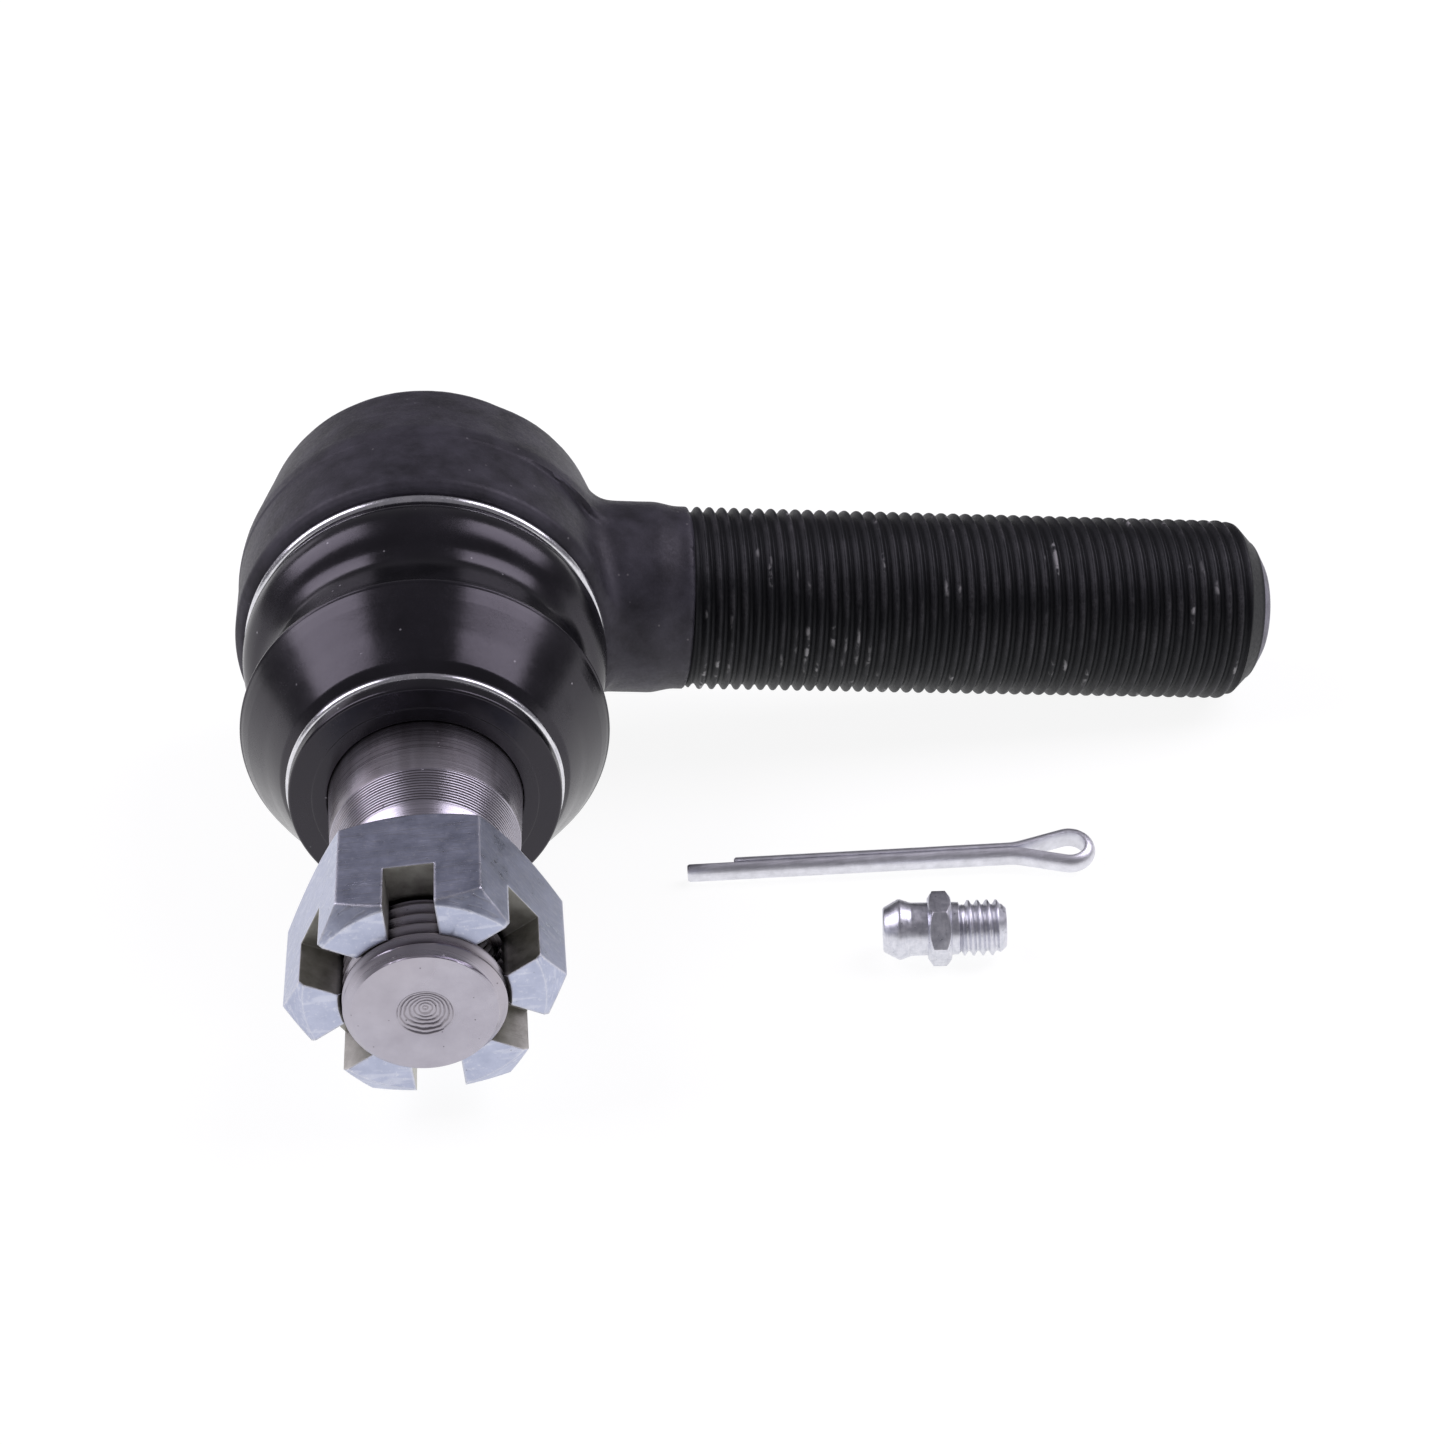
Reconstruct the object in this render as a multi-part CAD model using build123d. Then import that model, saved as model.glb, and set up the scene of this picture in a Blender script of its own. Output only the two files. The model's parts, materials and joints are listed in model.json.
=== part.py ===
from build123d import *
from math import acos, asin, cos, radians, sin, sqrt, tan
import os

# Tie rod end, in millimetres, with its loose split pin and grease nipple.
#
# Everything is first made in the design frame: origin at the ball centre, the threaded shank along +X,
# the ball stud along -Y.  "s" is the distance from the ball centre along the stud.  The finished pieces are
# then tipped into the pose in which the tie rod end lies on a flat surface (+Z up, origin kept at the ball
# centre): on the front edge of its eye, on the rim of its boot and on the far end of its shank.

# --- resting pose -----------------------------------------------------------------------------------------
SHANK_DIP = 6.958           # the shank's far end points down by this angle, degrees
STUD_DIP = 5.648            # the stud points down by this angle, degrees
SURFACE_Z = -22.976         # height of the surface it lies on, below the ball centre

# --- ball stud --------------------------------------------------------------------------------------------
BALL_R = 13.5
NECK_R = 7.5
NECK_END = 25.0             # far enough out to clear the boot when the stud swings
TAPER_START = 36.0          # big end of the seat taper
TAPER_R = 10.6
TAPER_SLOPE = 0.05          # 1:10 on diameter
SHOULDER = 48.7
CONE_END = 54.0
CONE_END_R = 8.25
STUD_THREAD_R = 8.0         # M16 x 1.5
STUD_ROOT_R = 7.08
STUD_PITCH = 1.5
STUD_FIRST_CREST = 56.15
STUD_CRESTS = 12
STUD_END = 75.1
STUD_FACE_R = 6.97
CENTRE_DRILL_R = 2.82
CENTRE_DRILL_DEPTH = 1.5
PIN_HOLE_R = 2.0
PIN_HOLE_S = 70.3

# --- castle nut (low form, M16 x 1.5) ---------------------------------------------------------------------
NUT_FLATS = 24.0
NUT_REAR = 59.1
NUT_FRONT = 73.1
NUT_SLOT_BOTTOM = 67.2
NUT_SLOT_WIDTH = 4.9
NUT_SLOT_ANGLE = 30.0       # the slot that lies over the stud's pin hole
NUT_TURN = 8.8              # how far the nut stands turned about the stud, degrees
RUNNING_GAP = 0.06

# --- housing: forged eye, neck and threaded shank ---------------------------------------------------------
EYE_R = 22.0
EYE_REAR = -17.6
EYE_REAR_R = 19.45
EYE_FRONT = 11.7
TURNED_TO = 1.1             # the eye is turned round from its front face down to here
SPIGOT_R = 18.2
SPIGOT_END = 14.6
BORE_R = 17.0
BORE_REAR = -16.5
BORE_FRONT = 8.5
MOUTH_R = 12.9
MOUTH_END_R = 14.6
REAR_LIP_R = 15.0
FORGED_R = 21.3             # the unturned rear of the eye stands wider on the neck's side
FORGED_REAR_R = 18.7
FORGED_OFFSET = 2.0
FORGED_REAR = -17.0
NECK_OUTER_R = 11.5
NECK_TO = 27.0
LAND_FROM = 29.4
SHANK_R = 11.0              # M22 x 1.5
SHANK_ROOT_R = 10.08
SHANK_PITCH = 1.5
SHANK_FIRST_CREST = 32.33
SHANK_CRESTS = 44
SHANK_END = 103.0
CREST_LAND = 0.3            # width of each thread crest
SHANK_CONE_FROM = 98.5      # the blunt cone on the shank's far end
SHANK_CONE_MID = (8.8, 100.4)
SHANK_TIP_R = 5.2

# --- boot -------------------------------------------------------------------------------------------------
BOOT_WALL = 2.0
FOLD_SPLIT = 21.6           # the boot's three stations: collar, belly and lip
BELLY_SPLIT = 34.5
LIP_FACE = 41.1
LIP_R = 14.5
UPPER_RING_S = 12.5         # snap rings of round wire, in grooves round the boot
UPPER_RING_R = 20.1
UPPER_WIRE_R = 0.65
LOWER_RING_S = 38.95
LOWER_RING_R = 14.35
LOWER_WIRE_R = 0.5
GROOVE_EASE = 0.03

# --- split pin (3.2 x 40) ---------------------------------------------------------------------------------
PIN_D = 2.5
PIN_LONG_LEG = 36.1
PIN_SHORT_LEG = 30.8
PIN_LEG_GAP = 0.04
PIN_EYE_R = 1.7
PIN_FLARE_R = 6.0
PIN_FLARE_ANGLE = 16.0
PIN_TIP = (28.0, -32.1)     # where the long leg ends, on the surface
PIN_HEADING = -4.6
PIN_ROLL = 14.0             # rolled about its own length, far side up
PIN_PITCH = 0.85            # its eye stands higher than its tips by this angle

# --- grease nipple (M6 x 1) -------------------------------------------------------------------------------
NIPPLE_HEAD = (47.6, -50.2)
NIPPLE_HEADING = -6.3
NIPPLE_FLATS = 7.0
NIPPLE_LENGTH = 13.2
NIPPLE_THREAD_R = 3.0
NIPPLE_ROOT_R = 2.4
NIPPLE_PITCH = 1.0
NIPPLE_FIRST_CREST = 9.1
NIPPLE_CRESTS = 4
NIPPLE_LAND = 0.15
CHECK_BALL_R = 1.15
CHECK_BALL_S = 1.5          # its centre, in from the face of the head
CHECK_BALL_TRAVEL = 0.6
SPRING_COIL_R = 0.95
SPRING_WIRE_R = 0.16

STUD_AXIS = Rotation(90, 0, 0)       # turns a piece made about +Z so that it points along -Y
SHANK_AXIS = Rotation(0, 90, 0)      # the same for +X
REST = Rotation(STUD_DIP, SHANK_DIP, 0)


# --- helpers ----------------------------------------------------------------------------------------------
def corner_edges(corners):
    """Edges of a closed outline. A corner is (r, s) or (r, s, radius), and a radius rounds it."""
    count = len(corners)
    trimmed = []
    for i, corner in enumerate(corners):
        here = Vector(corner[0], corner[1])
        if len(corner) == 2:
            trimmed.append((here, None, here))
            continue
        before = (Vector(*corners[i - 1][:2]) - here).normalized()
        after = (Vector(*corners[(i + 1) % count][:2]) - here).normalized()
        half = acos(max(-1.0, min(1.0, before.dot(after)))) / 2
        reach = corner[2] / tan(half)
        bisector = (before + after).normalized()
        middle = here + bisector * (corner[2] / sin(half) - corner[2])
        trimmed.append((here + before * reach, middle, here + after * reach))
    edges = []
    for i, (start, middle, end) in enumerate(trimmed):
        if middle is not None:
            edges.append(ThreePointArc(start, middle, end))
        following = trimmed[(i + 1) % count][0]
        if (following - end).length > 1e-6:
            edges.append(Line(end, following))
    return edges


def turned(corners):
    """A solid of revolution about +Z from corners in (radius, height)."""
    return revolve(Plane.XZ * make_face(corner_edges(corners)), Axis.Z)


def turned_edges(edges):
    return revolve(Plane.XZ * make_face(edges), Axis.Z)


def ring(radius, height, wire_radius, angle=360):
    """A round wire ring about +Z."""
    section = Plane.XZ * Pos(radius, height) * Circle(wire_radius)
    return revolve(section, Axis.Z, angle)


def thread_corners(first, count, pitch, crest_r, root_r, land):
    """Corners of annular thread grooves along the outside, from the first crest to the last."""
    flank = (crest_r - root_r) * tan(radians(30))
    corners = []
    for i in range(count):
        crest = first + i * pitch
        corners.append((root_r, crest - land / 2 - flank))
        corners.append((crest_r, crest - land / 2))
        corners.append((crest_r, crest + land / 2))
        corners.append((root_r, crest + land / 2 + flank))
    return corners


def taper_radius(s):
    return TAPER_R - TAPER_SLOPE * (s - TAPER_START)


def hex_bar(flats, low, high):
    """A hexagonal bar about +Z with one flat facing +Y."""
    bar = extrude(RegularPolygon(flats / 2, 6, major_radius=False), high - low)
    return Pos(0, 0, low) * bar


# --- housing ----------------------------------------------------------------------------------------------
def eye_outside():
    corners = [
        (0, EYE_REAR), (EYE_REAR_R - 3.4, EYE_REAR, 2.0), (EYE_REAR_R, EYE_REAR + 3.0, 2.5),
        (EYE_R + 0.1, -1.0, 6.0), (EYE_R + 0.1, TURNED_TO), (EYE_R, TURNED_TO),
        (EYE_R - 0.1, EYE_FRONT - 0.9), (EYE_R - 0.9, EYE_FRONT), (SPIGOT_R, EYE_FRONT),
        (SPIGOT_R, SPIGOT_END), (0, SPIGOT_END),
    ]
    return STUD_AXIS * turned(corners)


def neck_and_shank():
    crests = thread_corners(SHANK_FIRST_CREST, SHANK_CRESTS, SHANK_PITCH, SHANK_R, SHANK_ROOT_R, CREST_LAND)
    last = SHANK_FIRST_CREST + (SHANK_CRESTS - 1) * SHANK_PITCH
    corners = [(0, 8.0), (NECK_OUTER_R, 8.0), (NECK_OUTER_R, NECK_TO, 3.0), (SHANK_R, LAND_FROM, 3.0),
               (SHANK_R, SHANK_FIRST_CREST - SHANK_PITCH + CREST_LAND / 2)]
    corners += [(SHANK_ROOT_R, SHANK_FIRST_CREST - 0.9)] + crests
    corners += [(SHANK_ROOT_R, last + 0.9), (SHANK_R - 0.3, last + 1.3), (SHANK_R - 0.3, SHANK_CONE_FROM),
                (*SHANK_CONE_MID, 2.0), (SHANK_TIP_R, SHANK_END), (0, SHANK_END)]
    return SHANK_AXIS * turned(corners)


def forged_rim():
    """The unturned part of the eye, whose forged outline stands a little wider on the neck's side."""
    rear_bevel = FORGED_REAR + 2.4
    rim = turned([(0, FORGED_REAR), (15.6, FORGED_REAR, 1.5), (FORGED_REAR_R, rear_bevel, 2.0),
                  (FORGED_R, -1.0), (FORGED_R, TURNED_TO), (0, TURNED_TO)])
    return Pos(FORGED_OFFSET, 0, 0) * STUD_AXIS * rim


def housing():
    body = eye_outside() + neck_and_shank() + forged_rim()
    cavity = turned([
        (0, EYE_REAR - 1), (REAR_LIP_R, EYE_REAR - 1), (REAR_LIP_R, BORE_REAR), (BORE_R, BORE_REAR),
        (BORE_R, BORE_FRONT), (MOUTH_R, BORE_FRONT), (MOUTH_END_R, SPIGOT_END), (MOUTH_END_R, SPIGOT_END + 1),
        (0, SPIGOT_END + 1)])
    return body - STUD_AXIS * cavity


# --- ball joint inside the eye ----------------------------------------------------------------------------
def seat(near, far, hole_r, outer_r):
    """Half of the bearing round the ball, from the ball's middle (near) outwards (far)."""
    sphere_r = BALL_R + RUNNING_GAP
    hole_s = sqrt(sphere_r ** 2 - hole_r ** 2) * (1 if far > 0 else -1)
    half_way = asin((near + hole_s) / 2 / sphere_r)
    near_r = sqrt(sphere_r ** 2 - near ** 2)
    middle = (sphere_r * cos(half_way), sphere_r * sin(half_way))
    arc = ThreePointArc((near_r, near), middle, (hole_r, hole_s))
    rest = Polyline((hole_r, hole_s), (hole_r + 0.4, far), (outer_r, far), (outer_r, near), (near_r, near))
    return STUD_AXIS * turned_edges([arc, rest])


def disc_spring():
    """A conical spring washer that presses the rear seat on the ball."""
    return STUD_AXIS * turned([(11.6, -10.8), (11.6, -9.7), (16.4, -12.9), (16.4, -14.0)])


def end_cap():
    """The closing plate under the eye's rolled rear lip, with a boss tapped for the grease nipple."""
    return STUD_AXIS * turned([
        (2.5, -20.0), (5.6, -20.0), (6.6, -19.0), (6.6, -17.0, 0.8), (14.6, -16.45), (16.9, -16.45),
        (16.9, -14.1), (2.5, -14.1)])


def ball_stud():
    ball_join = sqrt(BALL_R ** 2 - NECK_R ** 2)
    rear_flat_r = 4.0
    rear_flat = -sqrt(BALL_R ** 2 - rear_flat_r ** 2)
    edges = [Line((0, rear_flat), (rear_flat_r, rear_flat)),
             ThreePointArc((rear_flat_r, rear_flat), (BALL_R, 0), (NECK_R, ball_join))]
    crests = thread_corners(STUD_FIRST_CREST, STUD_CRESTS, STUD_PITCH, STUD_THREAD_R, STUD_ROOT_R, CREST_LAND)
    run_out_r = STUD_THREAD_R - 0.1
    points = [(NECK_R, ball_join), (NECK_R, NECK_END), (NECK_R + 0.9, NECK_END + 2.4),
              (TAPER_R, NECK_END + 7.0), (TAPER_R, TAPER_START), (taper_radius(SHOULDER), SHOULDER),
              (CONE_END_R, CONE_END), (run_out_r, CONE_END + 0.4), (run_out_r, CONE_END + 0.9)]
    points += crests
    points += [(STUD_THREAD_R, STUD_END - 1.25), (STUD_THREAD_R, STUD_END - 0.8), (STUD_FACE_R, STUD_END),
               (CENTRE_DRILL_R, STUD_END), (0, STUD_END - CENTRE_DRILL_DEPTH), (0, rear_flat)]
    edges.append(Polyline(*points))
    stud = turned_edges(edges)
    stud -= Pos(0, 0, PIN_HOLE_S) * Cylinder(PIN_HOLE_R, 4 * STUD_THREAD_R, rotation=(0, 90, 0))
    return STUD_AXIS * Rotation(0, 0, NUT_SLOT_ANGLE + NUT_TURN) * stud


def castle_nut():
    corner_r = NUT_FLATS / sqrt(3)
    chamfer = (corner_r - NUT_FLATS / 2 + 0.3) * tan(radians(30))
    envelope = turned([(0, NUT_REAR), (NUT_FLATS / 2 - 0.3, NUT_REAR), (corner_r, NUT_REAR + chamfer),
                       (corner_r, NUT_FRONT - chamfer), (NUT_FLATS / 2 - 0.3, NUT_FRONT), (0, NUT_FRONT)])
    nut = hex_bar(NUT_FLATS, NUT_REAR, NUT_FRONT) & envelope
    bore_r = STUD_THREAD_R + RUNNING_GAP
    nut -= turned([(0, NUT_REAR - 1), (bore_r + 1.6, NUT_REAR - 1), (bore_r, NUT_REAR + 0.6),
                   (bore_r, NUT_FRONT - 0.5), (bore_r + 1.5, NUT_FRONT + 1), (0, NUT_FRONT + 1)])
    for i in range(3):
        slot = Box(NUT_SLOT_WIDTH, 2 * NUT_FLATS, 2 * (NUT_FRONT - NUT_SLOT_BOTTOM))
        nut -= Pos(0, 0, NUT_FRONT) * Rotation(0, 0, 60 * i) * slot
    return STUD_AXIS * Rotation(0, 0, NUT_TURN) * nut


# --- boot and its wire rings ------------------------------------------------------------------------------
def boot_collar():
    """The bead on the housing's spigot and the upper fold."""
    outside = Spline((20.0, 13.3), (20.7, 15.4), (19.9, 18.6), (18.5, FOLD_SPLIT),
                     tangents=((0.7, 1.0), (-0.25, 1.0)))
    inside = Polyline((18.5, FOLD_SPLIT), (18.5 - BOOT_WALL, FOLD_SPLIT), (18.7, 15.6), (SPIGOT_R, SPIGOT_END),
                      (SPIGOT_R, EYE_FRONT), (19.5, EYE_FRONT), (19.5, 12.9), (20.0, 13.3))
    edges = [outside, inside]
    collar = turned_edges(edges) - ring(UPPER_RING_R, UPPER_RING_S, UPPER_WIRE_R + GROOVE_EASE)
    return STUD_AXIS * collar


def boot_belly():
    """The groove behind the rim, the rim and the cone in front of it."""
    groove = Spline((18.5, FOLD_SPLIT), (18.1, 24.6), (19.1, 27.2), (20.2, 28.9),
                    tangents=((-0.25, 1.0), (0.2, 1.0)))
    outside = [groove,
               ThreePointArc((20.2, 28.9), (20.15, 29.6), (19.7, 30.2)),
               Line((19.7, 30.2), (17.2, BELLY_SPLIT))]
    inside = Polyline((17.2, BELLY_SPLIT), (17.2 - BOOT_WALL, BELLY_SPLIT - 0.6), (17.6, 29.4), (16.2, 25.0),
                      (18.5 - BOOT_WALL, FOLD_SPLIT), (18.5, FOLD_SPLIT))
    return STUD_AXIS * turned_edges(outside + [inside])


def boot_lip():
    """The last of the cone, the seat of the lower ring and the flat lip that seals on the stud."""
    seal_back = LIP_FACE - 3.2
    hole = [taper_radius(s) + RUNNING_GAP for s in (seal_back, LIP_FACE)]
    lip = turned([
        (17.2, BELLY_SPLIT), (15.5, 37.7), (LIP_R, 38.3), (LIP_R, LIP_FACE, 0.4), (11.7, LIP_FACE),
        (11.5, LIP_FACE + 0.2), (hole[1], LIP_FACE + 0.2), (hole[0], seal_back), (13.4, seal_back - 0.6),
        (17.2 - BOOT_WALL, BELLY_SPLIT - 0.6)])
    return STUD_AXIS * (lip - ring(LOWER_RING_R, LOWER_RING_S, LOWER_WIRE_R + GROOVE_EASE))


def wire_ring(s, radius, wire_radius):
    """A snap ring of round wire whose ends meet with a small gap, under the eye."""
    gap = 2.0
    return STUD_AXIS * Rotation(0, 0, -90 + gap / 2) * ring(radius, s, wire_radius, 360 - gap)


# --- split pin --------------------------------------------------------------------------------------------
def split_pin():
    """Half-round wire folded back on itself round an eye; the legs lie along -X from the eye."""
    angle = radians(PIN_FLARE_ANGLE)
    half_gap = PIN_LEG_GAP
    rise = PIN_EYE_R * cos(angle) - half_gap - PIN_FLARE_R * (1 - cos(angle))
    eye_x = rise / tan(angle) + (PIN_EYE_R + PIN_FLARE_R) * sin(angle)

    def flare(sign, a):
        return Vector(PIN_FLARE_R * sin(a), sign * (half_gap + PIN_FLARE_R * (1 - cos(a))))

    def side(sign, leg):
        touch = Vector(eye_x - PIN_EYE_R * sin(angle), sign * PIN_EYE_R * cos(angle))
        start = Vector(0, sign * half_gap)
        bend = ThreePointArc(start, flare(sign, angle / 2), flare(sign, angle))
        return [Line((-leg, sign * half_gap), start), bend, Line(flare(sign, angle), touch)], touch

    upper, upper_touch = side(1, PIN_SHORT_LEG)
    lower, lower_touch = side(-1, PIN_LONG_LEG)
    loop = ThreePointArc(upper_touch, (eye_x + PIN_EYE_R, 0), lower_touch)
    path = Wire(upper + [loop] + lower)
    start = Plane(origin=(-PIN_SHORT_LEG, half_gap, 0), x_dir=(0, 1, 0), z_dir=(1, 0, 0))
    pin = sweep(start * half_disc(PIN_D / 2), path)
    tipped = Rotation(0, 0, PIN_HEADING) * Rotation(0, -PIN_PITCH, 0) * Rotation(PIN_ROLL, 0, 0)
    lying = tipped * Pos(PIN_LONG_LEG, 0, 0) * pin
    return Pos(PIN_TIP[0], PIN_TIP[1], SURFACE_Z - lying.bounding_box().min.Z) * lying


def half_disc(radius):
    """Half of a disc, flat side on the local Y axis, bulging to +X."""
    return make_face([ThreePointArc((0, -radius), (radius, 0), (0, radius)), Line((0, radius), (0, -radius))])


# --- grease nipple ----------------------------------------------------------------------------------------
def lay_nipple(piece):
    """Lays a piece made along +Z on the surface, head first, one hexagon flat down."""
    laid = Rotation(0, 90, 0) * Rotation(0, 0, 30) * piece
    height = SURFACE_Z + NIPPLE_FLATS / 2
    return Pos(NIPPLE_HEAD[0], NIPPLE_HEAD[1], height) * Rotation(0, 0, NIPPLE_HEADING) * laid


def nipple_body():
    head = [(0, 0), (2.4, 0, 0.3), (3.3, 1.75, 0.4), (2.85, 3.1, 0.5), (2.85, 5.2), (2.8, 7.0), (2.8, 8.2),
            (NIPPLE_ROOT_R, 8.5)]
    crests = thread_corners(NIPPLE_FIRST_CREST, NIPPLE_CRESTS, NIPPLE_PITCH, NIPPLE_THREAD_R, NIPPLE_ROOT_R,
                            NIPPLE_LAND)
    tail = [(NIPPLE_ROOT_R, 12.6), (2.2, NIPPLE_LENGTH), (0, NIPPLE_LENGTH)]
    shaft = turned(head + crests + tail)
    corner_r = NIPPLE_FLATS / sqrt(3)
    chamfers = turned([(0, 4.8), (3.3, 4.8), (corner_r, 5.35), (corner_r, 6.85), (3.4, 7.3), (0, 7.3)])
    collar = hex_bar(NIPPLE_FLATS, 4.8, 7.3) & chamfers
    seat_s = CHECK_BALL_S - CHECK_BALL_R
    bore = turned([(0, -1), (1.0, -1), (1.0, 0.2), (0.7, seat_s), (1.3, seat_s + 0.9), (1.3, 9.0), (0.7, 9.6),
                   (0.7, NIPPLE_LENGTH + 1), (0, NIPPLE_LENGTH + 1)])
    return lay_nipple(shaft + collar - bore)


def nipple_check_ball():
    return lay_nipple(Pos(0, 0, CHECK_BALL_S) * Sphere(CHECK_BALL_R))


def nipple_spring():
    start = CHECK_BALL_S + CHECK_BALL_R + CHECK_BALL_TRAVEL
    height = 9.0 - start - 0.2
    path = Helix(pitch=height / 6, height=height, radius=SPRING_COIL_R)
    section = Plane(origin=path @ 0, z_dir=path % 0) * Circle(SPRING_WIRE_R)
    return lay_nipple(Pos(0, 0, start) * sweep(section, path, is_frenet=True))


# --- write every node -------------------------------------------------------------------------------------
RESTING = {
    "housing": housing,
    "front_seat": lambda: seat(0.3, 8.4, 11.7, BORE_R - 0.05),
    "rear_seat": lambda: seat(-0.3, -9.6, 10.1, BORE_R - 0.1),
    "disc_spring": disc_spring,
    "end_cap": end_cap,
    "boot_collar": boot_collar,
    "upper_wire_ring": lambda: wire_ring(UPPER_RING_S, UPPER_RING_R, UPPER_WIRE_R),
    "boot_belly": boot_belly,
    "boot_lip": boot_lip,
    "lower_wire_ring": lambda: wire_ring(LOWER_RING_S, LOWER_RING_R, LOWER_WIRE_R),
    "ball_stud": ball_stud,
    "castle_nut": castle_nut,
}
LOOSE = {
    "split_pin": split_pin,
    "nipple_body": nipple_body,
    "nipple_check_ball": nipple_check_ball,
    "nipple_spring": nipple_spring,
}

os.makedirs("parts", exist_ok=True)
for name, make in RESTING.items():
    export_step(REST * make(), f"parts/{name}.step")
for name, make in LOOSE.items():
    export_step(make(), f"parts/{name}.step")
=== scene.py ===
import json
from math import atan2, cos, pi, radians, sin, sqrt, tan, tau

import bmesh
import bpy
import numpy as np
from mathutils import Matrix, Vector, noise


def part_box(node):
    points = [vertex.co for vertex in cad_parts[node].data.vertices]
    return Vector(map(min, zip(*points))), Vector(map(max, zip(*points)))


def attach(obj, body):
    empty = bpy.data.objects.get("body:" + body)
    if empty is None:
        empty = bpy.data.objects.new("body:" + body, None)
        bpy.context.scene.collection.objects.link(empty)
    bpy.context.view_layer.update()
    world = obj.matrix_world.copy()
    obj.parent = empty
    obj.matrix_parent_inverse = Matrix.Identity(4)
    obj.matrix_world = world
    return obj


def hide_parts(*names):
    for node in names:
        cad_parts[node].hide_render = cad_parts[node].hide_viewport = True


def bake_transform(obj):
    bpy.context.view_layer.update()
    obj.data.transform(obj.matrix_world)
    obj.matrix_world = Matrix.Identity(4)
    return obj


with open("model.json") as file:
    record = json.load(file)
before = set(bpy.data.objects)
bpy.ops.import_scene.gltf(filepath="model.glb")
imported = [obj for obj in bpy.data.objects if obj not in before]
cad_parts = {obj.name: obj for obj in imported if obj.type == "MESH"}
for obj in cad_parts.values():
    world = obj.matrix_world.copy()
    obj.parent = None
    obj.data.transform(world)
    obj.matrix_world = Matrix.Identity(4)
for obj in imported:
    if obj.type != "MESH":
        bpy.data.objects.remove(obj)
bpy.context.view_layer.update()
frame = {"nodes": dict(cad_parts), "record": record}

# The design frame: origin at the ball centre, the shank along +X, the stud along -Y. Lengths are in
# millimetres and turn into metres when a mesh is made. "s" is the distance from the ball centre along the stud.
MM = 0.001
mounts = {mount["name"]: mount for mount in frame["record"]["mounts"]}
SHANK = Vector(mounts["shank_thread"]["axis"]).normalized()
STUD = Vector(mounts["ball_centre"]["axis"]).normalized()
UP = SHANK.cross(-STUD)
DESIGN = Matrix((SHANK, -STUD, UP)).transposed().to_4x4()
ALONG_STUD = DESIGN @ Matrix.Rotation(radians(90), 4, "X")     # a piece made about +Z points along the stud
ALONG_SHANK = DESIGN @ Matrix.Rotation(radians(90), 4, "Y")    # the same for the shank
SURFACE = min(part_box(node)[0].z for node in frame["nodes"])

# Housing
EYE_R = 22.0
EYE_REAR = -17.6
EYE_FRONT = 11.7
TURNED_TO = 1.1
SPIGOT_R = 18.2
SPIGOT_END = 14.6
BORE_R = 17.0
BORE_REAR = -16.5
BORE_FRONT = 8.5
MOUTH_R = 12.9
MOUTH_END_R = 14.6
REAR_LIP_R = 15.0
NECK_R = 11.5
SHANK_R = 11.0
SHANK_PITCH = 1.5
SHANK_THREAD_FROM = 31.0
SHANK_THREAD_TO = 100.4
SHANK_THREAD_DEPTH = 0.66
SHANK_CREST = 31.58         # where a crest lies at angle 0
SHANK_END = 103.0

# Stud and nut
STUD_R = 8.0
STUD_PITCH = 1.5
STUD_END = 75.1
STUD_FACE_R = 6.97
STUD_THREAD_FROM = 55.0
STUD_THREAD_DEPTH = 0.92
STUD_CREST = 67.775         # where a crest lies at angle 0
BALL_R = 13.5
STUD_NECK_R = 7.5
STUD_NECK_END = 25.0
DRILLING_R = 2.82
DRILLING_RINGS = 9
TAPER_START = 36.0
TAPER_R = 10.6
TAPER_SLOPE = 0.05
SHOULDER = 48.7
CONE_R = 9.93
CONE_END = 52.8
CONE_END_R = 8.7
CONE_MARKS = 13
PIN_HOLE_R = 2.0
PIN_HOLE_S = 70.3
NUT_FLATS = 24.0
NUT_REAR = 59.1
NUT_FRONT = 73.1
NUT_SLOT_BOTTOM = 67.2
NUT_SLOT_WIDTH = 4.9
NUT_TURN = radians(8.8)
NUT_SLOTS = 3               # slots cut right across, so six openings

AROUND = 192        # steps round a turned piece


# --- outlines ---------------------------------------------------------------------------------------------
def rounded(corners, closed=False, step=radians(15)):
    """Points of an outline. A corner is (r, s) or (r, s, radius), and a radius rounds it with an arc."""
    points = []
    count = len(corners)
    for i, corner in enumerate(corners):
        here = Vector(corner[:2])
        if len(corner) == 2 or (not closed and i in (0, count - 1)):
            points.append(here)
            continue
        before = (Vector(corners[i - 1][:2]) - here).normalized()
        after = (Vector(corners[(i + 1) % count][:2]) - here).normalized()
        half = before.angle(after) / 2
        centre = here + (before + after).normalized() * corner[2] / sin(half)
        first = here + before * corner[2] / tan(half) - centre
        last = here + after * corner[2] / tan(half) - centre
        pieces = max(2, round(first.angle(last) / step))
        turn = atan2(first.cross(last), first.dot(last))
        for k in range(pieces + 1):
            angle = turn * k / pieces
            points.append(centre + Matrix.Rotation(angle, 2) @ first)
    if closed:
        points.append(points[0])
    return [(p[0], p[1]) for p in points]


def curve_through(points, pieces=8):
    """A smooth curve (Catmull-Rom) through points, as (r, s) pairs."""
    ends = [2 * Vector(points[0]) - Vector(points[1])] + [Vector(p) for p in points]
    ends.append(2 * Vector(points[-1]) - Vector(points[-2]))
    curve = []
    for a, b, c, d in zip(ends, ends[1:], ends[2:], ends[3:]):
        for k in range(pieces):
            t = k / pieces
            bend = (a * 2 - b * 5 + c * 4 - d) * t ** 2
            twist = (b * 3 - a - c * 3 + d) * t ** 3
            spot = (b * 2 + (c - a) * t + bend + twist) / 2
            curve.append((spot[0], spot[1]))
    curve.append(tuple(points[-1]))
    return curve


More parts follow.
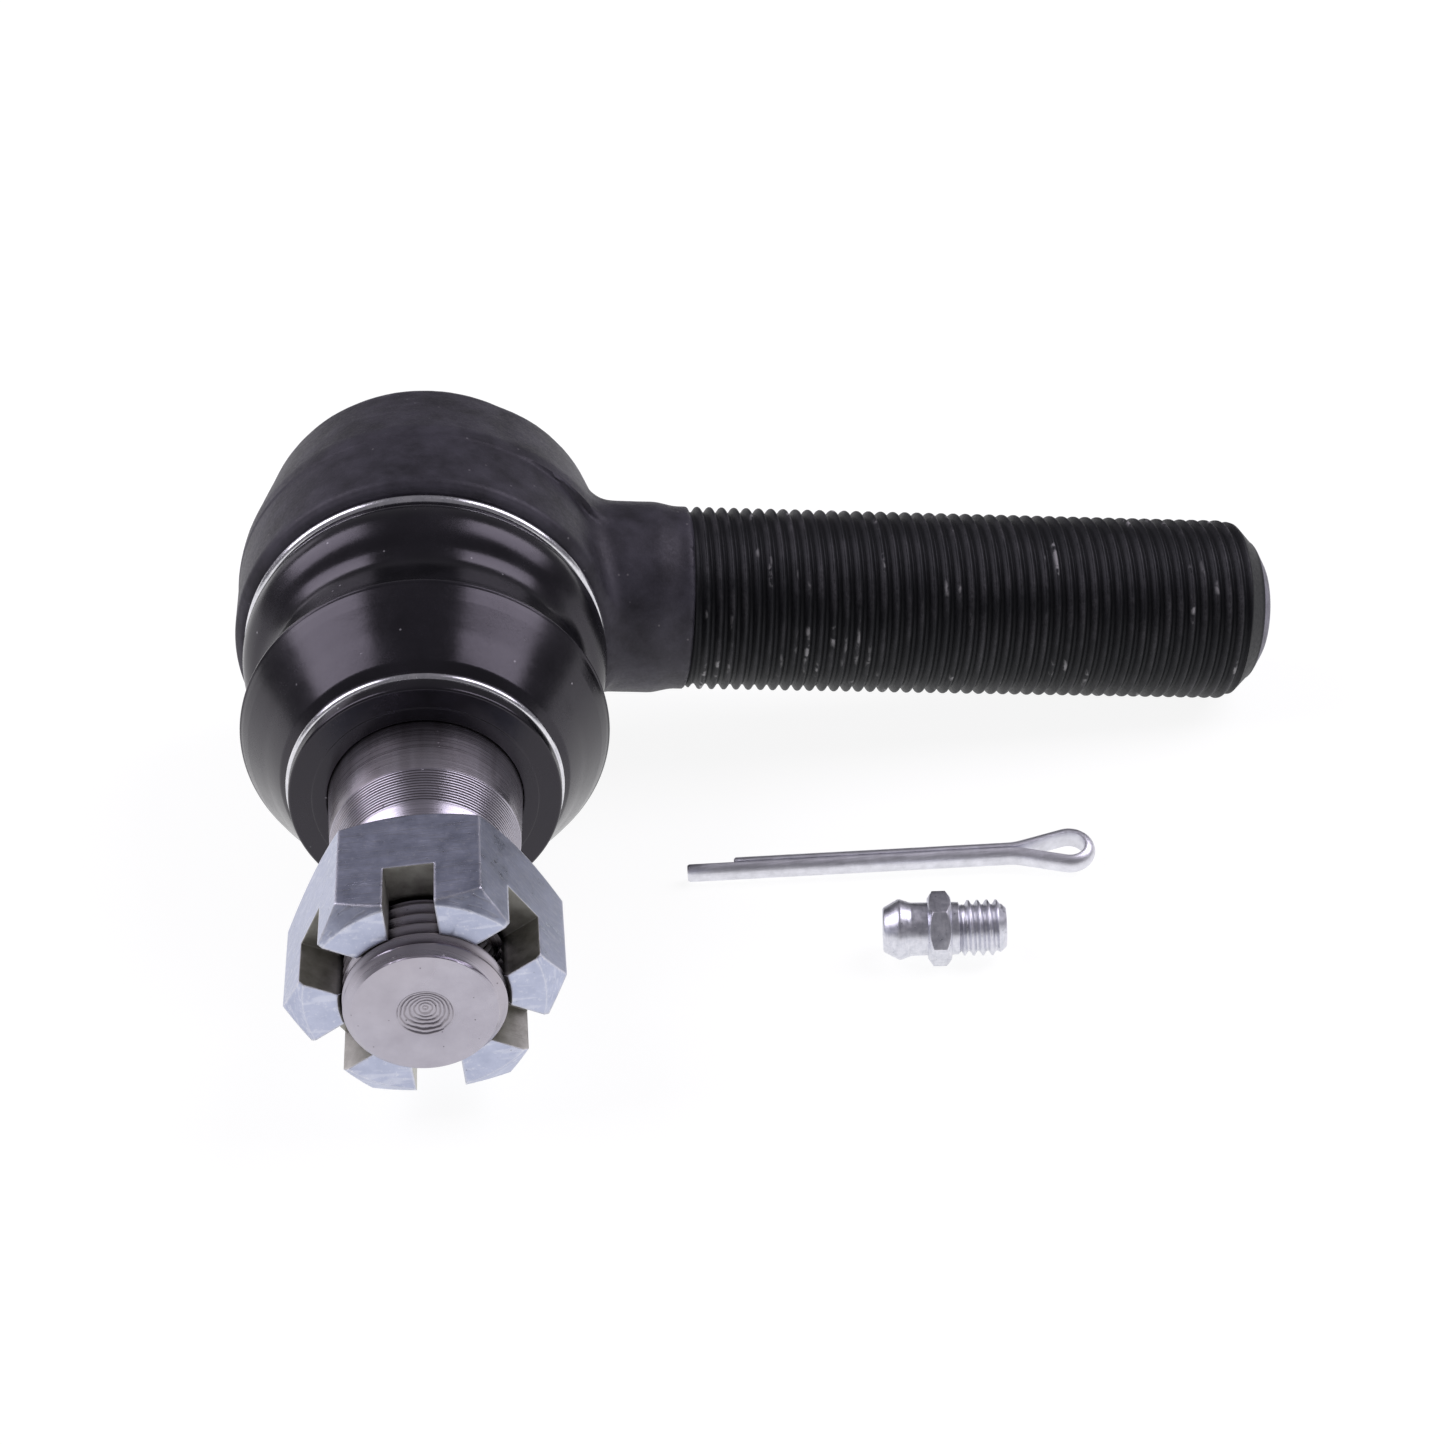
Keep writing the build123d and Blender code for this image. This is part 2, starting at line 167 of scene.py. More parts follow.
# --- meshes -----------------------------------------------------------------------------------------------
def mesh_object(name, points, faces, place=ALONG_STUD, sharp=32):
    """An object from points in millimetres, closed, with its normals outwards and its sharp edges marked."""
    mesh = bpy.data.meshes.new(name)
    matrix = np.array(place)
    points = np.array(points, float) * MM @ matrix[:3, :3].T + matrix[:3, 3]
    mesh.from_pydata(points.tolist(), [], [list(map(int, face)) for face in faces])
    clean(mesh)
    shade(mesh, sharp)
    thing = bpy.data.objects.new(name, mesh)
    bpy.context.scene.collection.objects.link(thing)
    return thing


def clean(mesh):
    shape = bmesh.new()
    shape.from_mesh(mesh)
    bmesh.ops.remove_doubles(shape, verts=shape.verts, dist=0.002 * MM)
    bmesh.ops.dissolve_degenerate(shape, edges=shape.edges, dist=0.0005 * MM)
    bmesh.ops.recalc_face_normals(shape, faces=shape.faces)
    shape.to_mesh(mesh)
    shape.free()


def shade(mesh, sharp=32):
    mesh.polygons.foreach_set("use_smooth", [True] * len(mesh.polygons))
    mesh.set_sharp_from_angle(angle=radians(sharp))


def spun(r, s, angles):
    """Points at radii r and heights s, one row for each angle."""
    turn = np.broadcast_to(angles[:, None], s.shape)
    return np.stack([r * np.cos(turn), r * np.sin(turn), s], axis=-1).reshape(-1, 3)


def turned(outline, steps=AROUND):
    """Points and faces of an outline of (r, s) pairs spun about +Z."""
    r, s = np.array(outline, float).T
    angles = np.arange(steps) * tau / steps
    return spun(np.tile(r, (steps, 1)), np.tile(s, (steps, 1)), angles), grid_faces(len(outline), steps)


def grid_faces(rows, columns, shift=0):
    """Faces between columns of points, round and round; the last column meets the first one shift rows up."""
    i = np.arange(rows - 1)
    faces = []
    for k in range(columns):
        here = k * rows
        if k < columns - 1:
            near, far = here + rows + i, here + rows + i + 1
        else:
            near, far = np.minimum(i + shift, rows - 1), np.minimum(i + 1 + shift, rows - 1)
        faces.append(np.stack([here + i, near, far, here + i + 1], axis=1))
    return np.concatenate(faces)


# One pitch of a thread: (place along the pitch, depth as a part of the whole)
THREAD_SECTION = ((-0.5, 1.0), (-0.41, 0.97), (-0.34, 0.84), (-0.12, 0.1), (-0.05, 0.0), (0.05, 0.0),
                  (0.12, 0.1), (0.34, 0.84), (0.41, 0.97))


def thread(low, high, crest, pitch, radius, depth, limit=None, run_in=0.0, steps=AROUND):
    """Points and faces of a right-hand thread about +Z between two heights. crest is the height of a crest at
    angle 0, limit(s) is the largest radius at s, and run_in is how many turns the thread takes to start."""
    first = (low - crest) // pitch - 1
    turns = int((high - low) / pitch) + 3
    rows = np.array([(first + n + phase, fall) for n in range(turns) for phase, fall in THREAD_SECTION])
    angles = np.arange(steps) * tau / steps
    s = np.clip(crest + (rows[:, 0][None] + (angles / tau)[:, None]) * pitch, low, high)
    ease = np.clip((s - low) / pitch / run_in, 0, 1) if run_in else 1.0
    r = radius - depth * (1 - (1 - rows[:, 1][None]) * ease)
    if limit:
        r = np.minimum(r, limit(s))
    return spun(r, s, angles), grid_faces(len(rows), steps, len(THREAD_SECTION))


def joined(*shells):
    """Several shells of (points, faces) as one."""
    starts = np.cumsum([0] + [len(points) for points, faces in shells])
    points = np.concatenate([points for points, faces in shells])
    return points, np.concatenate([faces + start for (_, faces), start in zip(shells, starts)])


def boolean(target, tool, operation, solver="MANIFOLD"):
    """Cuts or joins the tool into the target, and removes the tool."""
    step = target.modifiers.new(operation, "BOOLEAN")
    step.object = tool
    step.operation = operation
    step.solver = solver
    apply_modifiers(target)
    bpy.data.objects.remove(tool)


def apply_modifiers(thing):
    bpy.context.view_layer.update()
    evaluated = thing.evaluated_get(bpy.context.evaluated_depsgraph_get())
    mesh = bpy.data.meshes.new_from_object(evaluated)
    thing.modifiers.clear()
    thing.data = mesh


def finish_piece(thing, material, body, slot, *nodes):
    """Paints a piece and ties it to its body; one without a body is left unattached."""
    thing.data.materials.clear()
    thing.data.materials.append(material)
    if body:
        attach(thing, body)
    if nodes:
        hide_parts(*nodes)
    return thing


# --- materials --------------------------------------------------------------------------------------------
class Paint:
    """A material's node tree, built with short calls."""

    def __init__(self, name, metallic=0.0, **settings):
        self.material = bpy.data.materials.new(name)
        self.material.use_nodes = True
        self.tree = self.material.node_tree
        self.shader = self.tree.nodes["Principled BSDF"]
        self.shader.inputs["Metallic"].default_value = metallic
        for key, value in settings.items():
            self.shader.inputs[key.replace("_", " ")].default_value = value
        self.height = None

    def node(self, kind, output, inputs, **properties):
        made = self.tree.nodes.new(kind)
        for key, value in properties.items():
            setattr(made, key, value)
        for key, value in inputs.items():
            self.feed(made.inputs[key], value)
        return made.outputs[output]

    def feed(self, socket, value):
        if isinstance(value, bpy.types.NodeSocket):
            self.tree.links.new(value, socket)
        else:
            socket.default_value = value

    def place(self, scale=(1, 1, 1), frame_matrix=None):
        """Object coordinates in metres, turned into a piece's own axes and scaled."""
        spot = self.node("ShaderNodeTexCoord", "Object", {})
        if frame_matrix is not None:
            turn = frame_matrix.to_3x3().inverted().to_euler()
            spot = self.node("ShaderNodeMapping", "Vector", {"Vector": spot, "Rotation": turn})
        return self.node("ShaderNodeMapping", "Vector", {"Vector": spot, "Scale": scale})

    def turned_place(self, frame_matrix):
        """Distance from a turned piece's axis and distance along it, both in millimetres."""
        spot = self.place((1000, 1000, 1000), frame_matrix)
        parts = self.tree.nodes.new("ShaderNodeSeparateXYZ")
        self.feed(parts.inputs[0], spot)
        flat = self.node("ShaderNodeCombineXYZ", "Vector", {"X": parts.outputs[0], "Y": parts.outputs[1]})
        return self.node("ShaderNodeVectorMath", "Value", {0: flat}, operation="LENGTH"), parts.outputs[2]

    def band(self, value, low, high, soft):
        """1 between low and high, 0 outside."""
        rise = self.ramp(value, low - soft, low + soft)
        return self.math("MULTIPLY", rise, self.ramp(value, high - soft, high + soft, 1.0, 0.0))

    def ripple(self, value, pitch):
        """A wave between 0 and 1 that repeats every pitch."""
        wave = self.math("SINE", self.math("MULTIPLY", value, tau / pitch))
        return self.math("MULTIPLY_ADD", wave, 0.5, 0.5)

    def noise(self, scale, detail=3.0, rough=0.5, spot=None, distortion=0.0):
        inputs = {"Scale": scale, "Detail": detail, "Roughness": rough, "Distortion": distortion}
        inputs["Vector"] = spot or self.place()
        return self.node("ShaderNodeTexNoise", "Fac", inputs)

    def spots(self, scale, size, spot=None):
        """Small round specks: 1 inside a speck, 0 outside."""
        inputs = {"Scale": scale, "Vector": spot or self.place()}
        distance = self.node("ShaderNodeTexVoronoi", "Distance", inputs)
        return self.ramp(distance, size, size * 0.4)

    def ramp(self, value, low, high, to_low=0.0, to_high=1.0):
        return self.node("ShaderNodeMapRange", "Result", {
            "Value": value, "From Min": low, "From Max": high, "To Min": to_low, "To Max": to_high})

    def math(self, operation, a, b=0.0, c=0.0):
        return self.node("ShaderNodeMath", "Value", {0: a, 1: b, 2: c}, operation=operation)

    def mix(self, factor, a, b):
        made = self.tree.nodes.new("ShaderNodeMix")
        made.data_type = "RGBA"
        self.feed(made.inputs["Factor"], factor)
        self.feed(made.inputs[6], (*a, 1) if isinstance(a, tuple) else a)
        self.feed(made.inputs[7], (*b, 1) if isinstance(b, tuple) else b)
        return made.outputs[2]

    def attribute(self, name):
        return self.node("ShaderNodeAttribute", "Fac", {}, attribute_name=name)

    def colour(self, value):
        self.feed(self.shader.inputs["Base Color"], value)

    def roughness(self, value):
        self.feed(self.shader.inputs["Roughness"], value)

    def round_edges(self, radius, samples=6):
        """Rounds the shading at sharp edges; radius is in millimetres."""
        made = self.tree.nodes.new("ShaderNodeBevel")
        made.samples = samples
        made.inputs["Radius"].default_value = radius * MM
        self.height = made.outputs["Normal"]
        self.feed(self.shader.inputs["Normal"], self.height)
        true = self.node("ShaderNodeNewGeometry", "True Normal", {})
        facing = self.node("ShaderNodeVectorMath", "Value", {0: self.height, 1: true}, operation="DOT_PRODUCT")
        return self.ramp(facing, 0.995, 0.93)

    def bump(self, height, distance, strength=1.0):
        """Adds relief; distance is in millimetres."""
        inputs = {"Height": height, "Distance": distance * MM, "Strength": strength}
        if self.height is not None:
            inputs["Normal"] = self.height
        self.height = self.node("ShaderNodeBump", "Normal", inputs)
        self.feed(self.shader.inputs["Normal"], self.height)


def forged_black(name, grey=1.0):
    """Matt black phosphate on forged and turned steel, with a faint purple-grey sheen and specks."""
    paint = Paint(name, 0.0, Specular_IOR_Level=0.42, Specular_Tint=(0.93, 0.88, 1.0, 1))
    broad = paint.noise(260, 4.0, 0.6)
    fine = paint.noise(2600, 4.0, 0.65)
    dark = tuple(c * grey for c in (0.014, 0.0132, 0.0175))
    light = tuple(c * grey for c in (0.044, 0.0415, 0.054))
    base = paint.mix(paint.ramp(broad, 0.35, 0.68), dark, light)
    base = paint.mix(paint.ramp(fine, 0.62, 0.78, 0.0, 0.35), base, (0.07, 0.067, 0.078))
    dust = paint.spots(420, 0.07)
    base = paint.mix(paint.math("MULTIPLY", dust, 0.6), base, (0.2, 0.19, 0.2))
    paint.colour(base)
    paint.roughness(paint.ramp(fine, 0.3, 0.75, 0.42, 0.62))
    paint.bump(fine, 0.018)
    paint.bump(broad, 0.06)
    return paint.material


def thread_black(name):
    """Black thread whose crests are rubbed grey."""
    paint = Paint(name, 0.0, Specular_IOR_Level=0.28, Specular_Tint=(0.92, 0.93, 1.0, 1))
    fine = paint.noise(2600, 4.0, 0.65)
    patches = paint.noise(190, 3.0, 0.6)
    base = paint.mix(paint.ramp(fine, 0.35, 0.7), (0.003, 0.0032, 0.0038), (0.007, 0.0073, 0.0088))
    worn = paint.math("MULTIPLY", paint.attribute("crest"), paint.ramp(patches, 0.45, 0.72))
    worn = paint.math("MULTIPLY", worn, paint.ramp(fine, 0.4, 0.6, 0.4, 1.0))
    base = paint.mix(worn, base, (0.055, 0.053, 0.058))
    scuffs = paint.ramp(paint.noise(1.0, 2.0, 0.5, paint.place((420, 150, 150))), 0.62, 0.68)
    nicks = paint.math("MULTIPLY", scuffs, paint.ramp(paint.noise(900, 2.0), 0.46, 0.58))
    nicks = paint.math("MULTIPLY", nicks, paint.ramp(paint.attribute("crest"), 0.3, 0.9))
    base = paint.mix(paint.math("MULTIPLY", nicks, 0.8), base, (0.34, 0.33, 0.34))
    paint.colour(base)
    paint.roughness(paint.ramp(fine, 0.3, 0.75, 0.42, 0.60))
    paint.bump(fine, 0.012)
    return paint.material


def rubber_black(name):
    """Glossy black rubber with moulding ripple, faint bloom and dust specks."""
    paint = Paint(name, 0.0, Specular_IOR_Level=0.55, Specular_Tint=(0.93, 0.87, 1.0, 1))
    broad = paint.noise(170, 3.0, 0.55)
    fine = paint.noise(3400, 3.0, 0.6)
    base = paint.mix(paint.ramp(broad, 0.35, 0.7), (0.0035, 0.0035, 0.0045), (0.008, 0.0075, 0.010))
    dust = paint.spots(330, 0.055)
    base = paint.mix(paint.math("MULTIPLY", dust, 0.8), base, (0.32, 0.31, 0.33))
    paint.colour(base)
    soft = paint.ramp(broad, 0.3, 0.75, 0.15, 0.26)
    paint.roughness(paint.math("ADD", soft, paint.ramp(fine, 0.3, 0.8, 0.0, 0.08)))
    paint.bump(fine, 0.004)
    paint.bump(broad, 0.03)
    return paint.material


def bright_wire(name):
    """Drawn spring wire with faint lengthwise streaks."""
    paint = Paint(name, 1.0)
    streaks = paint.noise(900, 4.0, 0.7)
    fine = paint.noise(5000, 3.0)
    paint.colour(paint.mix(paint.ramp(streaks, 0.35, 0.7), (0.62, 0.62, 0.66), (0.82, 0.81, 0.84)))
    paint.roughness(paint.ramp(fine, 0.3, 0.7, 0.14, 0.28))
    paint.bump(fine, 0.003)
    return paint.material


def turned_steel(name, axis):
    """Bright turned steel with a faint lilac tint: fine rings round its axis, coarse tool marks on the cone with
    painted shade as dark stripes across them, streaks on the taper, a spiral in the centre drilling, painted
    shade in the thread roots, and pits."""
    paint = Paint(name, 1.0)
    radius, along = paint.turned_place(axis)
    rings = paint.noise(1.0, 3.0, 0.7, paint.place((30, 30, 9000), axis))
    coarse = paint.noise(1.0, 2.0, 0.5, paint.place((60, 60, 1500), axis))
    stain = paint.noise(260, 4.0, 0.6)
    pits = paint.spots(900, 0.08)
    base = paint.mix(paint.ramp(stain, 0.32, 0.7), (0.39, 0.37, 0.425), (0.47, 0.45, 0.51))
    base = paint.mix(paint.ramp(coarse, 0.5, 0.75, 0.0, 0.3), base, (0.52, 0.46, 0.48))
    cone = paint.band(along, SHOULDER + 0.05, CONE_END - 0.1, 0.05)
    marks = paint.math("MULTIPLY", cone, paint.ripple(along, (CONE_END - SHOULDER) / CONE_MARKS))
    # painted shade: each tool mark on the cone gets a near-black stripe standing for the shade in its groove
    base = paint.mix(paint.math("MULTIPLY", paint.ramp(marks, 0.3, 0.75), 0.9), base, (0.06, 0.045, 0.045))
    taper = paint.band(along, TAPER_START - 1, SHOULDER, 0.05)
    streaks = paint.noise(1.0, 3.0, 0.6, paint.place((260, 260, 40), axis))
    base = paint.mix(paint.math("MULTIPLY", taper, 0.5), base, (0.74, 0.71, 0.76))
    dark_streaks = paint.math("MULTIPLY", taper, paint.ramp(streaks, 0.35, 0.65, 0.0, 0.6))
    base = paint.mix(dark_streaks, base, (0.16, 0.13, 0.14))
    drilled = paint.math("MULTIPLY", paint.ramp(radius, 2.7, 2.9, 1.0, 0.0), paint.ramp(along, 73.5, 73.6))
    wander = paint.math("MULTIPLY_ADD", paint.noise(700, 2.0), 0.5, radius)
    spiral = paint.math("MULTIPLY", drilled, paint.ripple(wander, 0.42))
    base = paint.mix(paint.math("MULTIPLY", drilled, 0.25), base, (0.38, 0.35, 0.37))
    base = paint.mix(paint.math("MULTIPLY", paint.ramp(spiral, 0.5, 1.0), 0.55), base, (0.16, 0.14, 0.15))
    # painted shade: the stud's thread roots are darkened where shade falls in them
    root = paint.math("MULTIPLY", paint.ramp(radius, 7.2, 7.75, 1.0, 0.0), paint.band(along, 55.2, 74.0, 0.1))
    base = paint.mix(paint.math("MULTIPLY", root, 0.8), base, (0.08, 0.065, 0.065))
    base = paint.mix(paint.math("MULTIPLY", pits, 0.7), base, (0.06, 0.055, 0.06))
    paint.colour(base)
    paint.roughness(paint.ramp(rings, 0.3, 0.7, 0.22, 0.38))
    paint.bump(rings, 0.006)
    paint.bump(spiral, 0.05)
    paint.bump(marks, 0.06)
    paint.bump(pits, -0.03)
    return paint.material


def zinc_plate(name):
    """Satin zinc plate: bluish grey, mottled, with fine scratches in every direction, pits and a painted
    highlight along its edges.
    """
    paint = Paint(name, 1.0)
    edges = paint.round_edges(0.4)
    mottle = paint.noise(430, 4.0, 0.65)
    grain = paint.noise(4200, 3.0, 0.65)
    speckle = paint.ramp(paint.noise(2300, 3.0, 0.7), 0.56, 0.70)
    scratches = None
    for turn, seed in ((0.3, 0.1), (1.2, 0.4), (2.2, 0.7)):
        spot = paint.node("ShaderNodeMapping", "Vector", {
            "Vector": paint.place(), "Rotation": (turn, turn * 0.6, turn * 1.7), "Scale": (220, 6500, 900),
            "Location": (seed, seed, seed)})
        line = paint.ramp(paint.noise(1.0, 1.0, 0.4, spot), 0.62, 0.68)
        scratches = line if scratches is None else paint.math("MAXIMUM", scratches, line)
    pits = paint.spots(800, 0.08)
    base = paint.mix(paint.ramp(mottle, 0.3, 0.72), (0.40, 0.43, 0.56), (0.53, 0.56, 0.70))
    base = paint.mix(paint.math("MULTIPLY", speckle, 0.35), base, (0.80, 0.80, 0.85))
    base = paint.mix(paint.math("MULTIPLY", scratches, 0.22), base, (0.80, 0.80, 0.85))
    # painted highlight: the nut's edges, found from the rounded shading, are painted near white
    base = paint.mix(paint.math("MULTIPLY", edges, 0.6), base, (0.88, 0.87, 0.90))
    base = paint.mix(paint.math("MULTIPLY", pits, 0.5), base, (0.10, 0.10, 0.09))
    paint.colour(base)
    rough = paint.ramp(mottle, 0.3, 0.75, 0.32, 0.46)
    paint.roughness(paint.math("SUBTRACT", rough, paint.math("MULTIPLY", scratches, 0.08)))
    paint.bump(grain, 0.008)
    paint.bump(scratches, -0.005)
    paint.bump(pits, -0.02)
    return paint.material


def slot_grey(name):
    """The milled walls of the nut's slots: yellower than its outside, with cutter marks, painted shade towards
    the slot bottom and a painted shadow next to the stud.
    """
    paint = Paint(name, 1.0)
    radius, along = paint.turned_place(ALONG_STUD)
    paint.round_edges(0.2)
    lines = paint.noise(1.0, 2.0, 0.6, paint.place((300, 300, 7000), ALONG_STUD))
    mottle = paint.noise(620, 4.0, 0.65)
    base = paint.mix(paint.ramp(mottle, 0.3, 0.7), (0.42, 0.41, 0.37), (0.66, 0.65, 0.61))
    shade_below = paint.ramp(along, NUT_SLOT_BOTTOM, NUT_SLOT_BOTTOM + 2.5, 0.4, 0.0)
    base = paint.mix(shade_below, base, (0.10, 0.095, 0.08))
    # painted shadow: the slot walls turn near black next to the stud
    base = paint.mix(paint.ramp(radius, STUD_R + 0.6, STUD_R + 0.1), base, (0.03, 0.028, 0.025))
    paint.colour(base)
    paint.roughness(paint.ramp(mottle, 0.3, 0.75, 0.38, 0.55))
    paint.bump(lines, 0.02)
    paint.bump(mottle, 0.02)
    return paint.material


def zinc_wire(name):
    """Dull zinc on soft wire, with lengthwise draw marks."""
    paint = Paint(name, 1.0)
    marks = paint.noise(1.0, 3.0, 0.6, paint.place((160, 5200, 5200)))
    mottle = paint.noise(700, 4.0, 0.6)
    paint.colour(paint.mix(paint.ramp(mottle, 0.3, 0.7), (0.66, 0.66, 0.71), (0.84, 0.84, 0.90)))
    paint.roughness(paint.ramp(marks, 0.3, 0.7, 0.34, 0.5))
    paint.bump(marks, 0.010)
    return paint.material


def bright_zinc(name):
    """Bright zinc on a turned fitting: chatter marks round it, pits and sparkle, and a painted highlight along
    its edges.
    """
    paint = Paint(name, 1.0)
    edges = paint.round_edges(0.12)
    chatter = paint.noise(1.0, 3.0, 0.65, paint.place((2600, 300, 300)))
    lumps = paint.noise(1500, 4.0, 0.7)
    pits = paint.spots(1300, 0.11)
    base = paint.mix(paint.ramp(lumps, 0.32, 0.7), (0.60, 0.61, 0.68), (0.82, 0.82, 0.88))
    base = paint.mix(paint.math("MULTIPLY", paint.ramp(chatter, 0.5, 0.75), 0.4), base, (0.42, 0.42, 0.46))
    # painted highlight: the edges, found from the rounded shading, are painted near white
    base = paint.mix(paint.math("MULTIPLY", edges, 0.5), base, (0.90, 0.89, 0.93))
    base = paint.mix(paint.math("MULTIPLY", pits, 0.6), base, (0.12, 0.12, 0.13))
    paint.colour(base)
    paint.roughness(paint.ramp(lumps, 0.3, 0.7, 0.27, 0.42))
    paint.bump(chatter, 0.014)
    paint.bump(lumps, 0.016)
    return paint.material


def greased_steel(name, tint):
    paint = Paint(name, 1.0)
    streaks = paint.noise(600, 4.0, 0.6)
    dark = tuple(c * 0.6 for c in tint)
    paint.colour(paint.mix(paint.ramp(streaks, 0.35, 0.65), dark, tint))
    paint.roughness(paint.ramp(streaks, 0.3, 0.7, 0.22, 0.4))
    paint.bump(streaks, 0.01)
    return paint.material


def pale_floor(name):
    paint = Paint(name, 0.0, Specular_IOR_Level=0.2)
    cloud = paint.noise(14, 2.0)
    paint.colour(paint.mix(cloud, (0.16, 0.16, 0.16), (0.17, 0.17, 0.17)))
    paint.shader.inputs["Emission Color"].default_value = (1, 1, 1, 1)
    paint.shader.inputs["Emission Strength"].default_value = 0.90
    paint.roughness(0.7)
    return paint.material


FORGED = forged_black("forged_black")
END_CONE = forged_black("shank_end_grey", 4.5)
THREAD_BLACK = thread_black("thread_black")
RUBBER = rubber_black("boot_rubber")
WIRE = bright_wire("bright_wire")
STEEL = turned_steel("turned_steel", ALONG_STUD)
ZINC = zinc_plate("zinc_plate")
SLOT_GREY = slot_grey("slot_grey")
PIN_ZINC = zinc_wire("zinc_wire")
NIPPLE_ZINC = bright_zinc("bright_zinc")
BEARING = greased_steel("bearing_steel", (0.50, 0.48, 0.47))
BLACK_STEEL = forged_black("black_steel", 1.4)


# --- housing: the eye and neck as one forging -------------------------------------------------------------
def outline_distance(r, s, corners):
    """Signed distance to a closed outline in the (r, s) plane, negative inside."""
    nearest = np.full(r.shape, 1e9)
    inside = np.zeros(r.shape, bool)
    for (r0, s0), (r1, s1) in zip(corners, corners[1:]):
        dr, ds = r1 - r0, s1 - s0
        length = dr * dr + ds * ds
        if length < 1e-12:
            continue
        t = np.clip(((r - r0) * dr + (s - s0) * ds) / length, 0, 1)
        nearest = np.minimum(nearest, (r - r0 - t * dr) ** 2 + (s - s0 - t * ds) ** 2)
        if abs(ds) > 1e-9:
            crossing = (s0 > s) != (s1 > s)
            inside ^= crossing & (r < r0 + (s - s0) * dr / ds)
    return np.where(inside, -1, 1) * np.sqrt(nearest)


def soft_union(a, b, reach):
    """Union of two distances with a fillet about as large as reach."""
    h = np.clip(0.5 + 0.5 * (b - a) / reach, 0, 1)
    return b + (a - b) * h - reach * h * (1 - h)


EYE_OUTLINE = rounded([
    (0, EYE_REAR), (16.1, EYE_REAR, 2.0), (19.45, EYE_REAR + 3.0, 2.5), (EYE_R + 0.05, -1.0, 6.0),
    (EYE_R + 0.1, TURNED_TO), (EYE_R, TURNED_TO), (EYE_R - 0.1, EYE_FRONT - 0.9, 0.4),
    (EYE_R - 0.9, EYE_FRONT, 0.4), (SPIGOT_R, EYE_FRONT), (SPIGOT_R, SPIGOT_END), (0, SPIGOT_END)], closed=True)
CAVITY_OUTLINE = rounded([
    (0, EYE_REAR - 2), (REAR_LIP_R + 0.3, EYE_REAR - 2), (REAR_LIP_R, EYE_REAR + 0.3, 0.3),
    (REAR_LIP_R, BORE_REAR), (BORE_R, BORE_REAR), (BORE_R, BORE_FRONT), (MOUTH_R, BORE_FRONT),
    (MOUTH_END_R, SPIGOT_END), (MOUTH_END_R, SPIGOT_END + 2), (0, SPIGOT_END + 2)], closed=True)
NECK_OUTLINE = rounded([
    (0, 5.0), (NECK_R, 5.0), (NECK_R, 27.0, 4.0), (SHANK_R, 29.4, 4.0), (SHANK_R, 30.85, 0.15), (9.9, 31.45),
    (0, 31.45)], closed=True)
RIM_OUTLINE = rounded([
    (0, EYE_REAR + 0.6), (15.3, EYE_REAR + 0.6, 2.0), (18.7, EYE_REAR + 3.0, 2.5), (21.3, -1.0, 6.0),
    (21.3, TURNED_TO, 0.2), (0, TURNED_TO)], closed=True)
RIM_OFFSET = 2.0
NECK_FILLET = 2.0


def forging_distance(x, y, z):
    s = -y
    r = np.hypot(x, z)
    eye = outline_distance(r, s, EYE_OUTLINE)
    rim = outline_distance(np.hypot(x - RIM_OFFSET, z), s, RIM_OUTLINE)
    neck = outline_distance(np.hypot(y, z), x, NECK_OUTLINE)
    solid = soft_union(np.minimum(eye, rim), neck, NECK_FILLET)
    return np.maximum(solid, -outline_distance(r, s, CAVITY_OUTLINE))


